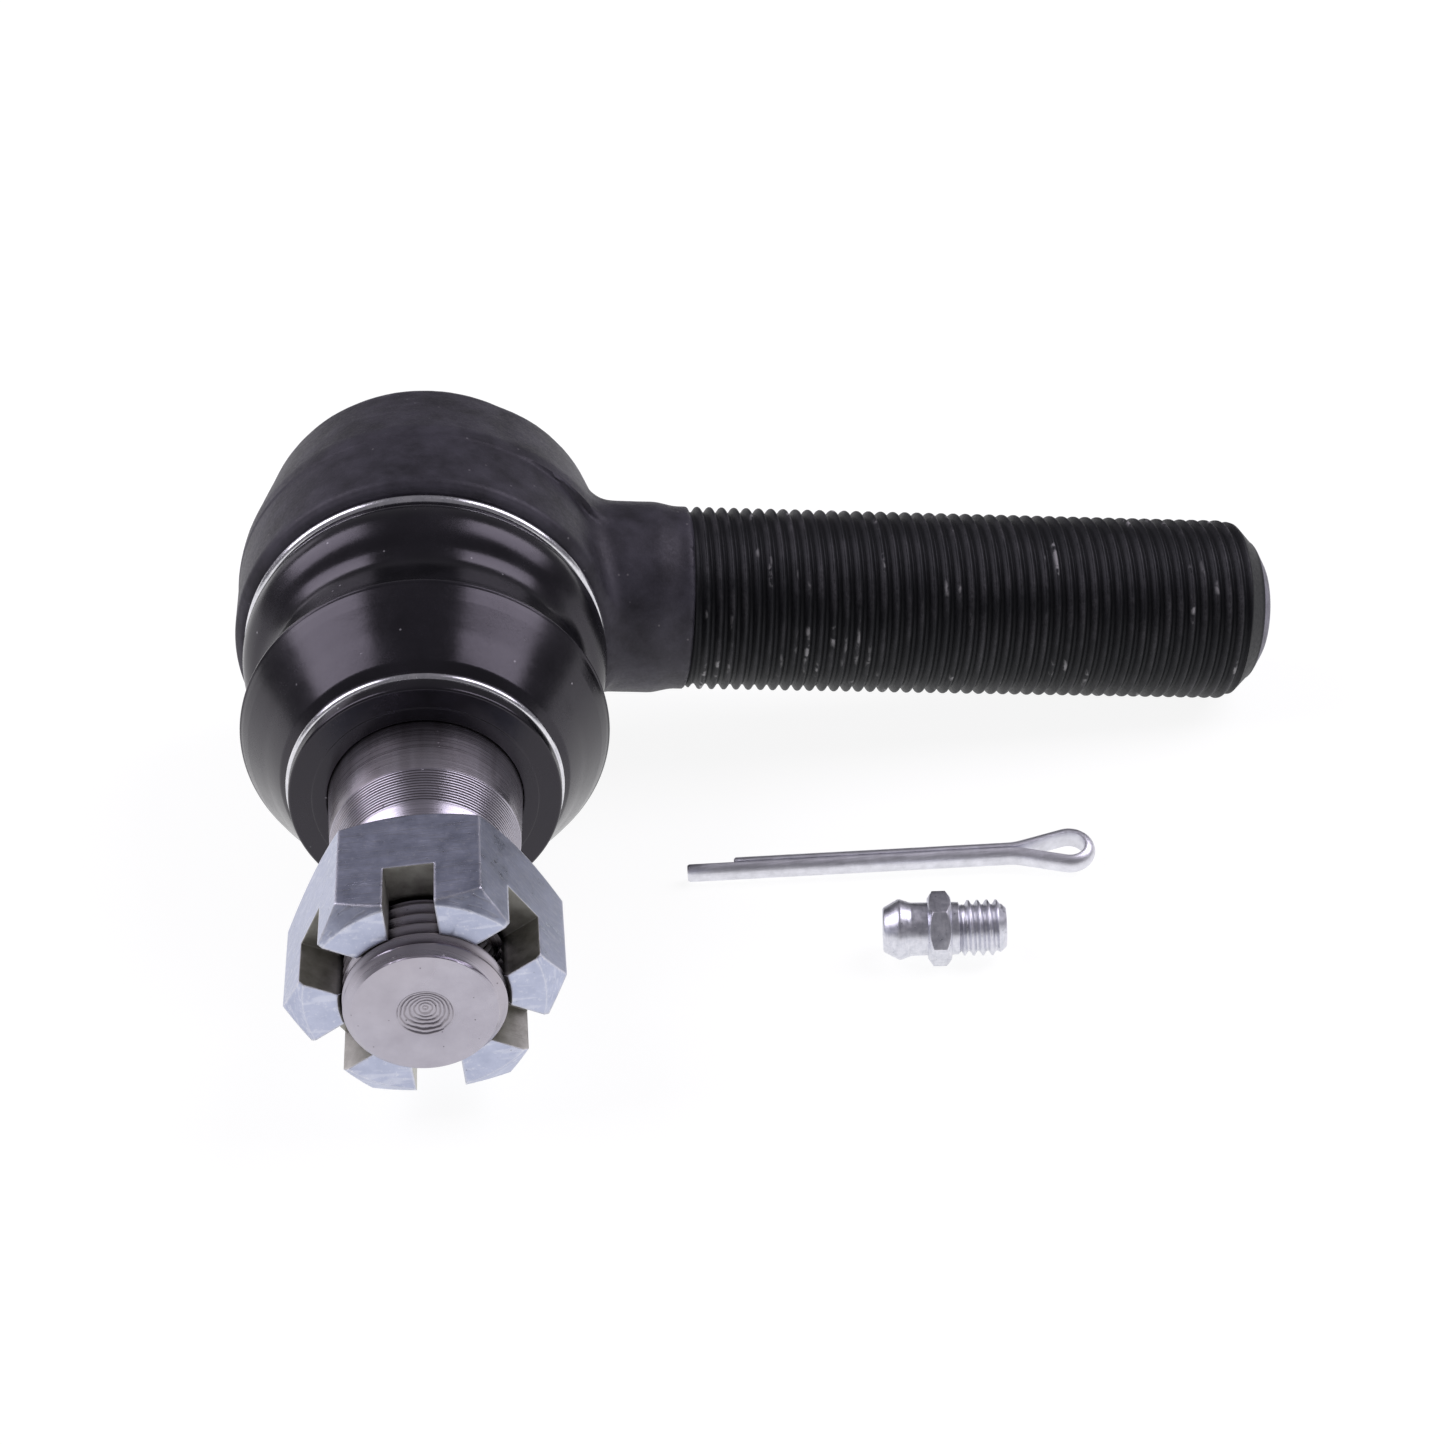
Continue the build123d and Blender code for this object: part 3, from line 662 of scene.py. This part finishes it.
def forging_mesh(cell=0.42):
    """A surface net of the forging on a cylindrical grid about the stud, so that turned edges stay circles."""
    radii = np.arange(12.0, 34.5, cell)
    heights = np.arange(EYE_REAR - 1.5 * cell, SPIGOT_END + 2 * cell, cell)
    steps = int(tau * EYE_R / cell)
    angles = np.arange(steps) * tau / steps
    r, a, s = np.meshgrid(radii, angles, heights, indexing="ij")
    values = forging_distance(r * np.cos(a), -s, r * np.sin(a))
    inside = values < 0
    wrap = np.concatenate([values, values[:, :1]], axis=1)
    corner_set = [(i, j, k) for i in (0, 1) for j in (0, 1) for k in (0, 1)]
    ni, nj, nk = len(radii) - 1, steps, len(heights) - 1
    cut = {c: wrap[c[0]:c[0] + ni, c[1]:c[1] + nj, c[2]:c[2] + nk] for c in corner_set}
    total = np.zeros((ni, nj, nk, 3))
    count = np.zeros((ni, nj, nk))
    for low in corner_set:
        for axis in range(3):
            if low[axis]:
                continue
            high = tuple(1 if n == axis else v for n, v in enumerate(low))
            va, vb = cut[low], cut[high]
            crosses = (va < 0) != (vb < 0)
            t = np.where(crosses, va / np.where(crosses, va - vb, 1), 0)
            for n in range(3):
                total[..., n] += np.where(crosses, low[n] + (t if n == axis else 0), 0)
            count += crosses
    used = count > 0
    cells = np.argwhere(used)
    number = -np.ones(used.shape, int)
    number[used] = np.arange(len(cells))
    spots = cells + total[used] / count[used][:, None]
    radius = radii[0] + spots[:, 0] * cell
    angle = spots[:, 1] * tau / steps
    height = heights[0] + spots[:, 2] * cell
    points = np.stack([radius * np.cos(angle), -height, radius * np.sin(angle)], axis=1)
    faces = []
    for axis in range(3):
        others = [n for n in range(3) if n != axis]
        change = inside != np.roll(inside, -1, axis)
        if axis != 1:
            change = change.take(range(inside.shape[axis] - 1), axis)
        spots = np.argwhere(change)
        ring = []
        for da, db in ((0, 0), (1, 0), (1, 1), (0, 1)):
            where = spots.copy()
            where[:, others[0]] -= da
            where[:, others[1]] -= db
            where[:, 1] %= steps
            ring.append(number[tuple(where.T)])
        faces.append(np.stack(ring, axis=1))
    faces = np.concatenate(faces)
    for _ in range(3):
        here = forging_distance(*points.T)
        slope = np.stack([forging_distance(*(points + shift).T) for shift in np.eye(3) * 0.02], axis=1)
        slope = (slope - here[:, None]) / 0.02
        points -= slope * (here / np.maximum((slope ** 2).sum(1), 0.2))[:, None]
    return points, faces


def housing_forging():
    thing = mesh_object("housing_forging", *forging_mesh(), DESIGN, sharp=40)
    roughen_forging(thing)
    shade(thing.data, 40)
    return finish_piece(thing, FORGED, "root", "forged_black", "housing")


def roughen_forging(thing):
    """Gives the unturned skin the slight waviness of a forging."""
    mesh = thing.data
    to_design = DESIGN.inverted()
    normals = [vertex.normal.copy() for vertex in mesh.vertices]
    moved = []
    for vertex, normal in zip(mesh.vertices, normals):
        spot = to_design @ vertex.co / MM
        radius = sqrt(spot.x ** 2 + spot.z ** 2)
        wave = noise.noise(spot * 0.22) * 0.035 + noise.noise(spot * 0.9) * 0.02
        turned_part = -spot.y > TURNED_TO - 0.1 and radius < EYE_R + 0.25
        if turned_part or radius < SPIGOT_R + 0.5 or spot.x > 28.5:
            wave = 0.0
        moved.append(vertex.co + normal * wave * MM)
    mesh.vertices.foreach_set("co", np.array(moved, np.float32).ravel())
    mesh.update()


def shank_limit(s):
    """The largest radius near the shank's far end."""
    return np.interp(s, (97.4, 98.5, 100.5), (SHANK_R, SHANK_R - 0.28, SHANK_R - 2.32))


def shank_thread():
    low, high = SHANK_THREAD_FROM, SHANK_THREAD_TO
    steps = 144
    depth = SHANK_THREAD_DEPTH
    threads = thread(low, high, SHANK_CREST, SHANK_PITCH, SHANK_R, depth, shank_limit, 0.5, steps)
    root = SHANK_R - depth
    start = turned([(0, low - 1.2), (root - 0.6, low - 1.2), (root, low)], steps)
    edge = min(shank_limit(high), root)
    tip = rounded([(edge, high), (8.55, 100.75, 0.3), (6.4, 102.1, 1.8), (3.8, SHANK_END - 0.3, 2.0),
                   (0, SHANK_END - 0.2)])
    end = turned(tip, steps)
    thing = mesh_object("shank_thread", *joined(start, threads, end), ALONG_SHANK, sharp=50)
    mark_crests(thing, ALONG_SHANK, SHANK_R, 0.18)
    finish_piece(thing, THREAD_BLACK, "root", "forged_black", "housing")
    thing.data.materials.append(END_CONE)
    to_shank = ALONG_SHANK.inverted()
    for face in thing.data.polygons:
        if (to_shank @ face.center).z > 100.6 * MM:
            face.material_index = 1
    return thing


def mark_crests(thing, place, radius, depth):
    """Stores how near each vertex is to a thread's crest, for the rub marks."""
    to_piece = place.inverted()
    layer = thing.data.attributes.new("crest", "FLOAT", "POINT")
    for vertex, value in zip(thing.data.vertices, layer.data):
        spot = to_piece @ vertex.co
        value.value = max(0.0, 1 - (radius * MM - Vector(spot[:2]).length) / (depth * MM))


# --- boot and wire rings ----------------------------------------------------------------------------------
def upper_boot():
    outer = curve_through([
        (20.05, 13.2), (20.6, 14.4), (20.75, 15.7), (20.5, 17.0), (19.75, 18.3), (18.6, 19.6), (18.0, 20.9),
        (17.9, 22.2), (18.15, 24.0), (18.65, 26.0), (19.4, 27.8), (20.22, 28.95)], 6)
    rim = rounded([(20.22, 28.95), (20.3, 29.35, 0.2), (20.1, 29.6)])
    inner = curve_through([
        (18.0, 29.4), (16.4, 26.0), (16.0, 23.0), (16.5, 20.0), (18.4, 17.0), (18.3, 14.9)], 6)
    seat = rounded([(SPIGOT_R + 0.02, SPIGOT_END), (SPIGOT_R + 0.02, EYE_FRONT + 0.05),
                    (19.6, EYE_FRONT + 0.05, 0.2), (19.45, 12.4, 0.3), (20.05, 13.2)])
    outline = outer + rim[1:] + inner + seat
    thing = mesh_object("boot_bellows", *turned(outline, AROUND), ALONG_STUD, sharp=38)
    return finish_piece(thing, RUBBER, None, "boot_rubber", "boot_collar")


def lower_boot():
    outline = rounded([
        (20.1, 29.6), (19.86, 30.15, 0.8), (19.3, 31.2, 2.0), (17.4, 34.2, 20.0), (15.55, 37.5, 1.2),
        (14.75, 38.2, 0.3), (14.45, 38.6, 0.2), (14.4, 39.2, 0.2), (14.6, 39.6, 0.2), (14.55, 41.1, 0.35),
        (12.1, 41.1, 0.1), (12.0, 41.2, 0.1), (10.45, 41.2, 0.15), (10.4, 38.0), (13.3, 37.3), (15.2, 34.0),
        (18.0, 29.4)], closed=True)
    thing = mesh_object("boot_cone", *turned(outline, AROUND), ALONG_STUD, sharp=38)
    return finish_piece(thing, RUBBER, None, "boot_rubber", "boot_belly", "boot_lip")


def wire_ring(name, s, radius, wire_radius, body, node):
    """A snap ring whose rounded ends nearly meet under the eye."""
    points, faces = [], []
    sides, steps, gap = 16, 160, radians(3)
    spine = [(1.0, 0.0)] * (steps + 1)
    sections = [(max(0.02, cos(t)), -sin(t)) for t in (radians(88), radians(60), radians(30))]
    sections += spine + [(r, -p) for r, p in reversed(sections)]
    middle = (tau - gap) / steps
    for n, (scale, push) in enumerate(sections):
        turn = min(max(n - 3, 0), steps) * middle + push * wire_radius / radius
        angle = -pi / 2 + gap / 2 + turn
        for k in range(sides):
            a = tau * k / sides
            r = radius + wire_radius * scale * cos(a)
            points.append((r * cos(angle), r * sin(angle), s + wire_radius * scale * sin(a)))
    rows = len(sections)
    for n in range(rows - 1):
        for k in range(sides):
            here, there = n * sides, (n + 1) * sides
            nxt = (k + 1) % sides
            faces.append((here + k, there + k, there + nxt, here + nxt))
    faces.append(tuple(range(sides)))
    faces.append(tuple((rows - 1) * sides + k for k in range(sides)))
    thing = mesh_object(name, points, faces, ALONG_STUD, sharp=60)
    return finish_piece(thing, WIRE, body, "bright_wire", node)


# --- ball stud --------------------------------------------------------------------------------------------
def stud_limit(s):
    return np.interp(s, (STUD_END - 0.8, STUD_END), (STUD_R, STUD_FACE_R))


def ball_stud():
    flat = radians(-73)
    join = radians(56.3)
    ball = [(BALL_R * cos(a), BALL_R * sin(a)) for a in np.linspace(flat, join, 40)]
    outline = [(0, ball[0][1])] + ball
    shoulder_r = TAPER_R - TAPER_SLOPE * (SHOULDER - TAPER_START)
    outline += rounded([(STUD_NECK_R, 11.6), (STUD_NECK_R, STUD_NECK_END, 2.0), (TAPER_R, 32.0, 1.5),
                        (TAPER_R, TAPER_START), (shoulder_r, SHOULDER, 0.12)])
    for n in range(CONE_MARKS):
        for part, depth in ((0.15, 0.0), (0.55, 0.06), (0.8, 0.07), (1.0, 0.0)):
            t = (n + part) / CONE_MARKS
            r = CONE_R + (CONE_END_R - CONE_R) * t - depth
            outline.append((r, SHOULDER + (CONE_END - SHOULDER) * t))
    outline += rounded([(8.42, 53.3, 0.3), (8.1, 54.4, 0.3), (7.95, 55.0)])
    low, high = STUD_THREAD_FROM, STUD_END - 0.02
    body = thread(low, high, STUD_CREST, STUD_PITCH, STUD_R, STUD_THREAD_DEPTH, stud_limit, 0.6)
    root = STUD_R - STUD_THREAD_DEPTH
    outline.append((root, low))
    face = [(root, high), (STUD_FACE_R - 0.08, STUD_END)]
    face += [(STUD_FACE_R - 0.6, STUD_END), (3.2, STUD_END), (2.95, STUD_END - 0.02)]
    for n in range(DRILLING_RINGS + 1):
        t = n / DRILLING_RINGS
        depth = 0.85 * sin(t * pi / 2) ** 0.9
        face.append((DRILLING_R * (1 - t) + 0.001, STUD_END - 0.06 - depth - 0.03 * (n % 2)))
    face.append((0, STUD_END - 0.95))
    thing = mesh_object("ball_stud_turned", *joined(turned(outline), body, turned(face)), ALONG_STUD, sharp=34)
    drill = bpy.data.objects.new("drill", cylinder_mesh(PIN_HOLE_R, 24.0, 40))
    bpy.context.scene.collection.objects.link(drill)
    turn = Matrix.Rotation(radians(30) + NUT_TURN, 4, "Z") @ Matrix.Rotation(radians(90), 4, "Y")
    drill.data.transform(ALONG_STUD @ Matrix.Translation((0, 0, PIN_HOLE_S * MM)) @ turn)
    boolean(thing, drill, "DIFFERENCE", "EXACT")
    shade(thing.data, 34)
    return finish_piece(thing, STEEL, "stud", "turned_steel", "ball_stud")


def cylinder_mesh(radius, length, steps):
    half = length / 2
    points, faces = turned([(0, -half), (radius, -half), (radius, half), (0, half)], steps)
    mesh = bpy.data.meshes.new("cylinder")
    mesh.from_pydata((points * MM).tolist(), [], faces.tolist())
    clean(mesh)
    return mesh


# --- castle nut -------------------------------------------------------------------------------------------
def box_points(width, depth, low, high):
    x, y = width / 2, depth / 2
    points = [(sx * x, sy * y, s) for s in (low, high) for sx, sy in ((-1, -1), (1, -1), (1, 1), (-1, 1))]
    faces = [(0, 1, 2, 3), (4, 5, 6, 7)] + [(i, (i + 1) % 4, 4 + (i + 1) % 4, 4 + i) for i in range(4)]
    return points, faces


def hexagon(flats, low, high):
    corner = flats / sqrt(3)
    ring = [(corner * cos(radians(60 * k)), corner * sin(radians(60 * k))) for k in range(6)]
    points = [(x, y, s) for s in (low, high) for x, y in ring]
    faces = [tuple(range(6)), tuple(range(6, 12))] + [(k, (k + 1) % 6, 6 + (k + 1) % 6, 6 + k) for k in range(6)]
    return points, faces


def bevelled(thing, width, segments=2, angle=28):
    step = thing.modifiers.new("bevel", "BEVEL")
    step.width = width * MM
    step.segments = segments
    step.limit_method = "ANGLE"
    step.angle_limit = radians(angle)
    step.harden_normals = False
    step.miter_outer = "MITER_ARC"
    apply_modifiers(thing)


def flat_facets(thing):
    """Shades big facets flat and lets only the narrow bevels between them turn the light."""
    shade(thing.data, 60)
    step = thing.modifiers.new("facets", "WEIGHTED_NORMAL")
    step.mode = "FACE_AREA"
    step.weight = 100
    step.keep_sharp = True
    apply_modifiers(thing)


def castle_nut():
    place = ALONG_STUD @ Matrix.Rotation(NUT_TURN, 4, "Z")
    corner = NUT_FLATS / sqrt(3)
    thing = mesh_object("castle_nut_body", *hexagon(NUT_FLATS, NUT_REAR, NUT_FRONT), place)
    chamfer_r = NUT_FLATS / 2 - 0.25
    rise = (corner + 1 - chamfer_r) * tan(radians(34))
    envelope = turned([(0, NUT_REAR), (chamfer_r, NUT_REAR), (corner + 1, NUT_REAR + rise),
                       (corner + 1, NUT_FRONT - rise), (chamfer_r, NUT_FRONT), (0, NUT_FRONT)], 180)
    boolean(thing, mesh_object("envelope", *envelope, place), "INTERSECT")
    for k in range(NUT_SLOTS):
        slot = box_points(NUT_SLOT_WIDTH, 3 * NUT_FLATS, NUT_SLOT_BOTTOM, NUT_FRONT + 5)
        turn = Matrix.Rotation(radians(60 * k), 4, "Z")
        boolean(thing, mesh_object("slot", *slot, place @ turn), "DIFFERENCE")
    bore_r = STUD_R + 0.05
    bore = turned([(0, NUT_REAR - 1), (bore_r + 1.7, NUT_REAR - 1), (bore_r - 0.4, NUT_REAR + 1.1),
                   (bore_r - 0.4, NUT_FRONT - 0.8), (bore_r + 0.9, NUT_FRONT + 0.6),
                   (bore_r + 0.9, NUT_FRONT + 3), (0, NUT_FRONT + 3)], 180)
    boolean(thing, mesh_object("bore", *bore, place), "DIFFERENCE")
    bevelled(thing, 0.16)
    flat_facets(thing)
    finish_piece(thing, ZINC, "nut", "zinc_plate", "castle_nut")
    thing.data.materials.append(SLOT_GREY)
    to_nut = place.inverted()
    for face in thing.data.polygons:
        spot = to_nut @ face.center / MM
        if spot.z < NUT_SLOT_BOTTOM - 0.15 or spot.z > NUT_FRONT - 0.25:
            continue
        turns = [radians(60 * k) for k in range(NUT_SLOTS)]
        across = min(abs(spot.x * cos(turn) + spot.y * sin(turn)) for turn in turns)
        radius = spot.xy.length
        in_slot = across < NUT_SLOT_WIDTH / 2 + 0.03 and radius < NUT_FLATS / 2 - 0.15
        if in_slot or radius < STUD_R + 0.3:
            face.material_index = 1
    return thing


# --- split pin --------------------------------------------------------------------------------------------
PIN_TIP = Vector((28.0, -32.1, 0))
PIN_HEADING = radians(-4.6)
PIN_PITCH = radians(0.85)
PIN_ROLL = radians(14)
PIN_D = 2.5
PIN_LONG_LEG = 36.1
PIN_SHORT_LEG = 30.8
PIN_END_DEPTH = 0.22        # how far each leg's rounded end stands past its last section
PIN_END_SCALE = 0.86        # the size of that end against the wire


def pin_route():
    """The inner (flat) side's route in the plane, from the short leg's end round the eye to the long leg's
    end, as (x, y, outward direction)."""
    eye_r, flare_r, flare, half_gap = 1.7, 6.0, radians(16), 0.03
    rise = eye_r * cos(flare) - half_gap - flare_r * (1 - cos(flare))
    eye_x = rise / tan(flare) + (eye_r + flare_r) * sin(flare)
    upper = [(-PIN_SHORT_LEG + PIN_SHORT_LEG * n / 12, half_gap, pi / 2) for n in range(12)]
    upper += [(flare_r * sin(a), half_gap + flare_r * (1 - cos(a)), pi / 2 + a)
              for a in np.linspace(0, flare, 6)]
    loop = [(eye_x + eye_r * cos(a), eye_r * sin(a), a)
            for a in np.linspace(pi / 2 + flare, -pi / 2 - flare, 36)]
    lower = [(x, -y, -a) for x, y, a in reversed(upper)]
    lower = [(x if x > -1e-6 else x * PIN_LONG_LEG / PIN_SHORT_LEG, y, a) for x, y, a in lower]
    return upper + loop + lower


def split_pin():
    radius = PIN_D / 2
    section = [(0.0, 0.0), (0.0, -radius + 0.2), (0.05, -radius + 0.07)]
    section += [(radius * sin(a), -radius * cos(a)) for a in np.linspace(radians(12), radians(168), 15)]
    section += [(0.05, radius - 0.07), (0.0, radius - 0.2)]
    route = pin_route()
    sides = len(section)
    points, faces = [], []
    for x, y, out in route:
        for depth, height in section:
            points.append((x + depth * cos(out), y + depth * sin(out), height))
    for end in (0, len(route) - 1):
        base = len(points)
        x, y, out = route[end]
        for depth, height in section:
            side = y + (depth * PIN_END_SCALE + 0.05) * sin(out)
            points.append((x - PIN_END_DEPTH, side, height * PIN_END_SCALE))
        for k in range(sides):
            nxt = (k + 1) % sides
            faces.append((end * sides + k, end * sides + nxt, base + nxt, base + k))
        faces.append(tuple(range(base, base + sides)))
    for n in range(len(route) - 1):
        for k in range(sides):
            nxt = (k + 1) % sides
            faces.append((n * sides + k, (n + 1) * sides + k, (n + 1) * sides + nxt, n * sides + nxt))
    heading = Matrix.Rotation(PIN_HEADING, 4, "Z") @ Matrix.Rotation(-PIN_PITCH, 4, "Y")
    tipped = heading @ Matrix.Rotation(PIN_ROLL, 4, "X") @ Matrix.Translation((PIN_LONG_LEG, 0, 0))
    lowest = min((tipped @ Vector(point)).z for point in points)
    ground = Vector((0, 0, SURFACE / MM - lowest))
    place = Matrix.Scale(MM, 4) @ Matrix.Translation(PIN_TIP + ground) @ tipped @ Matrix.Scale(1 / MM, 4)
    thing = mesh_object("split_pin_wire", points, faces, place, sharp=40)
    return finish_piece(thing, PIN_ZINC, "pin", "zinc_wire", "split_pin")


# --- grease nipple ----------------------------------------------------------------------------------------
NIPPLE_HEAD = Vector((47.6, -50.2, 0))
NIPPLE_HEADING = radians(-6.3)
NIPPLE_FLATS = 7.0
NIPPLE_LENGTH = 13.2
NIPPLE_PITCH = 1.0
NIPPLE_THREAD_R = 3.0
NIPPLE_THREAD_DEPTH = 0.5
HEXAGON_FROM = 4.8
HEXAGON_TO = 7.3


def nipple_place():
    ground = Vector((0, 0, SURFACE / MM + NIPPLE_FLATS / 2))
    lay = Matrix.Rotation(radians(90), 4, "Y") @ Matrix.Rotation(radians(30), 4, "Z")
    return Matrix.Translation((NIPPLE_HEAD + ground) * MM) @ Matrix.Rotation(NIPPLE_HEADING, 4, "Z") @ lay


def nipple():
    place = nipple_place()
    steps = 96
    head = rounded([(0.75, 1.1), (1.0, 0.35, 0.1), (1.1, 0.0, 0.1), (2.35, 0.0, 0.35), (3.3, 1.75, 0.45),
                    (2.86, 3.0, 0.6), (2.84, 4.6), (2.84, 5.2), (2.84, 7.1), (2.8, 8.1), (2.45, 8.35)])
    low, high = 8.35, 12.9

    def limit(s):
        return np.interp(s, (12.2, NIPPLE_LENGTH), (NIPPLE_THREAD_R, 2.1))

    crest = 9.1 - NIPPLE_PITCH / 4
    threads = thread(low, high, crest, NIPPLE_PITCH, NIPPLE_THREAD_R, NIPPLE_THREAD_DEPTH, limit, 0.3, steps)
    root = NIPPLE_THREAD_R - NIPPLE_THREAD_DEPTH
    head.append((root, low))
    tail = rounded([(min(root, limit(high)), high), (2.1, NIPPLE_LENGTH, 0.1), (0.8, NIPPLE_LENGTH, 0.1),
                    (0.7, 12.0), (0.7, 9.6), (1.3, 9.0), (1.3, 1.6), (0.75, 1.1)])
    shells = joined(turned(head, steps), threads, turned(tail, steps))
    thing = mesh_object("nipple_turned", *shells, place, sharp=40)
    corner = NIPPLE_FLATS / sqrt(3)
    low, high = HEXAGON_FROM, HEXAGON_TO
    collar = mesh_object("nipple_hexagon", *hexagon(NIPPLE_FLATS, low, high), place)
    rise = 0.62
    envelope = turned([(0, low), (3.25, low), (corner + 0.1, low + rise), (corner + 0.1, high - rise),
                       (3.35, high), (0, high)], steps)
    boolean(collar, mesh_object("envelope", *envelope, place), "INTERSECT")
    bore = turned([(0, low - 1), (2.6, low - 1), (2.6, high + 1), (0, high + 1)], steps)
    boolean(collar, mesh_object("bore", *bore, place), "DIFFERENCE")
    bevelled(collar, 0.12, 2, 25)
    shade(collar.data, 36)
    finish_piece(collar, NIPPLE_ZINC, "nipple", "zinc_plate", "nipple_body")
    return finish_piece(thing, NIPPLE_ZINC, "nipple", "zinc_plate", "nipple_body")


# --- pieces kept from the frame ---------------------------------------------------------------------------
def keep(node, material):
    thing = frame["nodes"][node]
    thing.data.materials.clear()
    thing.data.materials.append(material)


# --- floor, lights and camera -----------------------------------------------------------------------------
FLOOR_HALF = 40.0


def floor():
    corners = [(x * FLOOR_HALF, y * FLOOR_HALF, SURFACE) for x, y in ((-1, -1), (1, -1), (1, 1), (-1, 1))]
    mesh = bpy.data.meshes.new("floor")
    mesh.from_pydata(corners, [], [(0, 1, 2, 3)])
    thing = bpy.data.objects.new("floor", mesh)
    thing.data.materials.append(pale_floor("pale_floor"))
    bpy.context.scene.collection.objects.link(thing)


def softbox(name, place, aim, size, power, tint=(1, 1, 1)):
    """A rectangular light whose size_y side runs from front to back."""
    light = bpy.data.lights.new(name, "AREA")
    light.shape = "RECTANGLE"
    light.size, light.size_y = size
    light.energy = power
    light.color = tint
    back = (Vector(place) - Vector(aim)).normalized()
    across = Vector((0, 1, 0)).cross(back).normalized()
    turn = Matrix((across, back.cross(across), back)).transposed().to_4x4()
    thing = bpy.data.objects.new(name, light)
    thing.matrix_world = Matrix.Translation(place) @ turn
    bpy.context.scene.collection.objects.link(thing)


LIGHT_TINT = (1.0, 0.95, 1.06)


def surroundings():
    world = bpy.data.worlds.new("studio")
    world.use_nodes = True
    background = world.node_tree.nodes["Background"]
    background.inputs["Color"].default_value = (0.95, 0.92, 1.0, 1)
    background.inputs["Strength"].default_value = 0.2
    bpy.context.scene.world = world


CAMERA_AT = (0.018022, -0.279342, 0.141219)
CAMERA_RIGHT = (0.99525, -0.08566, -0.04622)
CAMERA_FORWARD = (0.05096, 0.86317, -0.50234)
CAMERA_LENS = 64.88


def camera():
    lens = bpy.data.cameras.new("camera")
    lens.lens = CAMERA_LENS
    lens.sensor_width = 36
    lens.clip_start = 0.01
    thing = bpy.data.objects.new("camera", lens)
    right = Vector(CAMERA_RIGHT).normalized()
    back = -Vector(CAMERA_FORWARD).normalized()
    up = back.cross(right)
    turn = Matrix((right, up, back)).transposed().to_4x4()
    thing.matrix_world = Matrix.Translation(CAMERA_AT) @ turn
    bpy.context.scene.collection.objects.link(thing)
    bpy.context.scene.camera = thing


# --- make everything --------------------------------------------------------------------------------------
camera()
housing_forging()
shank_thread()
bellows = upper_boot()
cone = lower_boot()
wire_ring("upper_ring_wire", 12.5, 20.1, 0.65, "root", "upper_wire_ring")
wire_ring("lower_ring_wire", 38.95, 14.4, 0.5, "boot_end", "lower_wire_ring")
ball_stud()
castle_nut()
split_pin()
nipple()
keep("front_seat", BEARING)
keep("rear_seat", BEARING)
keep("disc_spring", BEARING)
keep("end_cap", BLACK_STEEL)
keep("nipple_check_ball", BEARING)
keep("nipple_spring", WIRE)

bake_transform(bellows)
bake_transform(cone)

floor()
surroundings()
for side in (-1, 1):
    softbox("softbox_%d" % side, (0.68 * side, 0.10, 0.66), (0.01, 0.10, 0), (0.70, 0.66), 4.6, LIGHT_TINT)
softbox("back_left_card", (-0.85, 0.95, 0.35), (0.0, 0.0, 0.0), (0.4, 0.4), 0.35, LIGHT_TINT)
bpy.context.scene.view_settings.view_transform = "Standard"
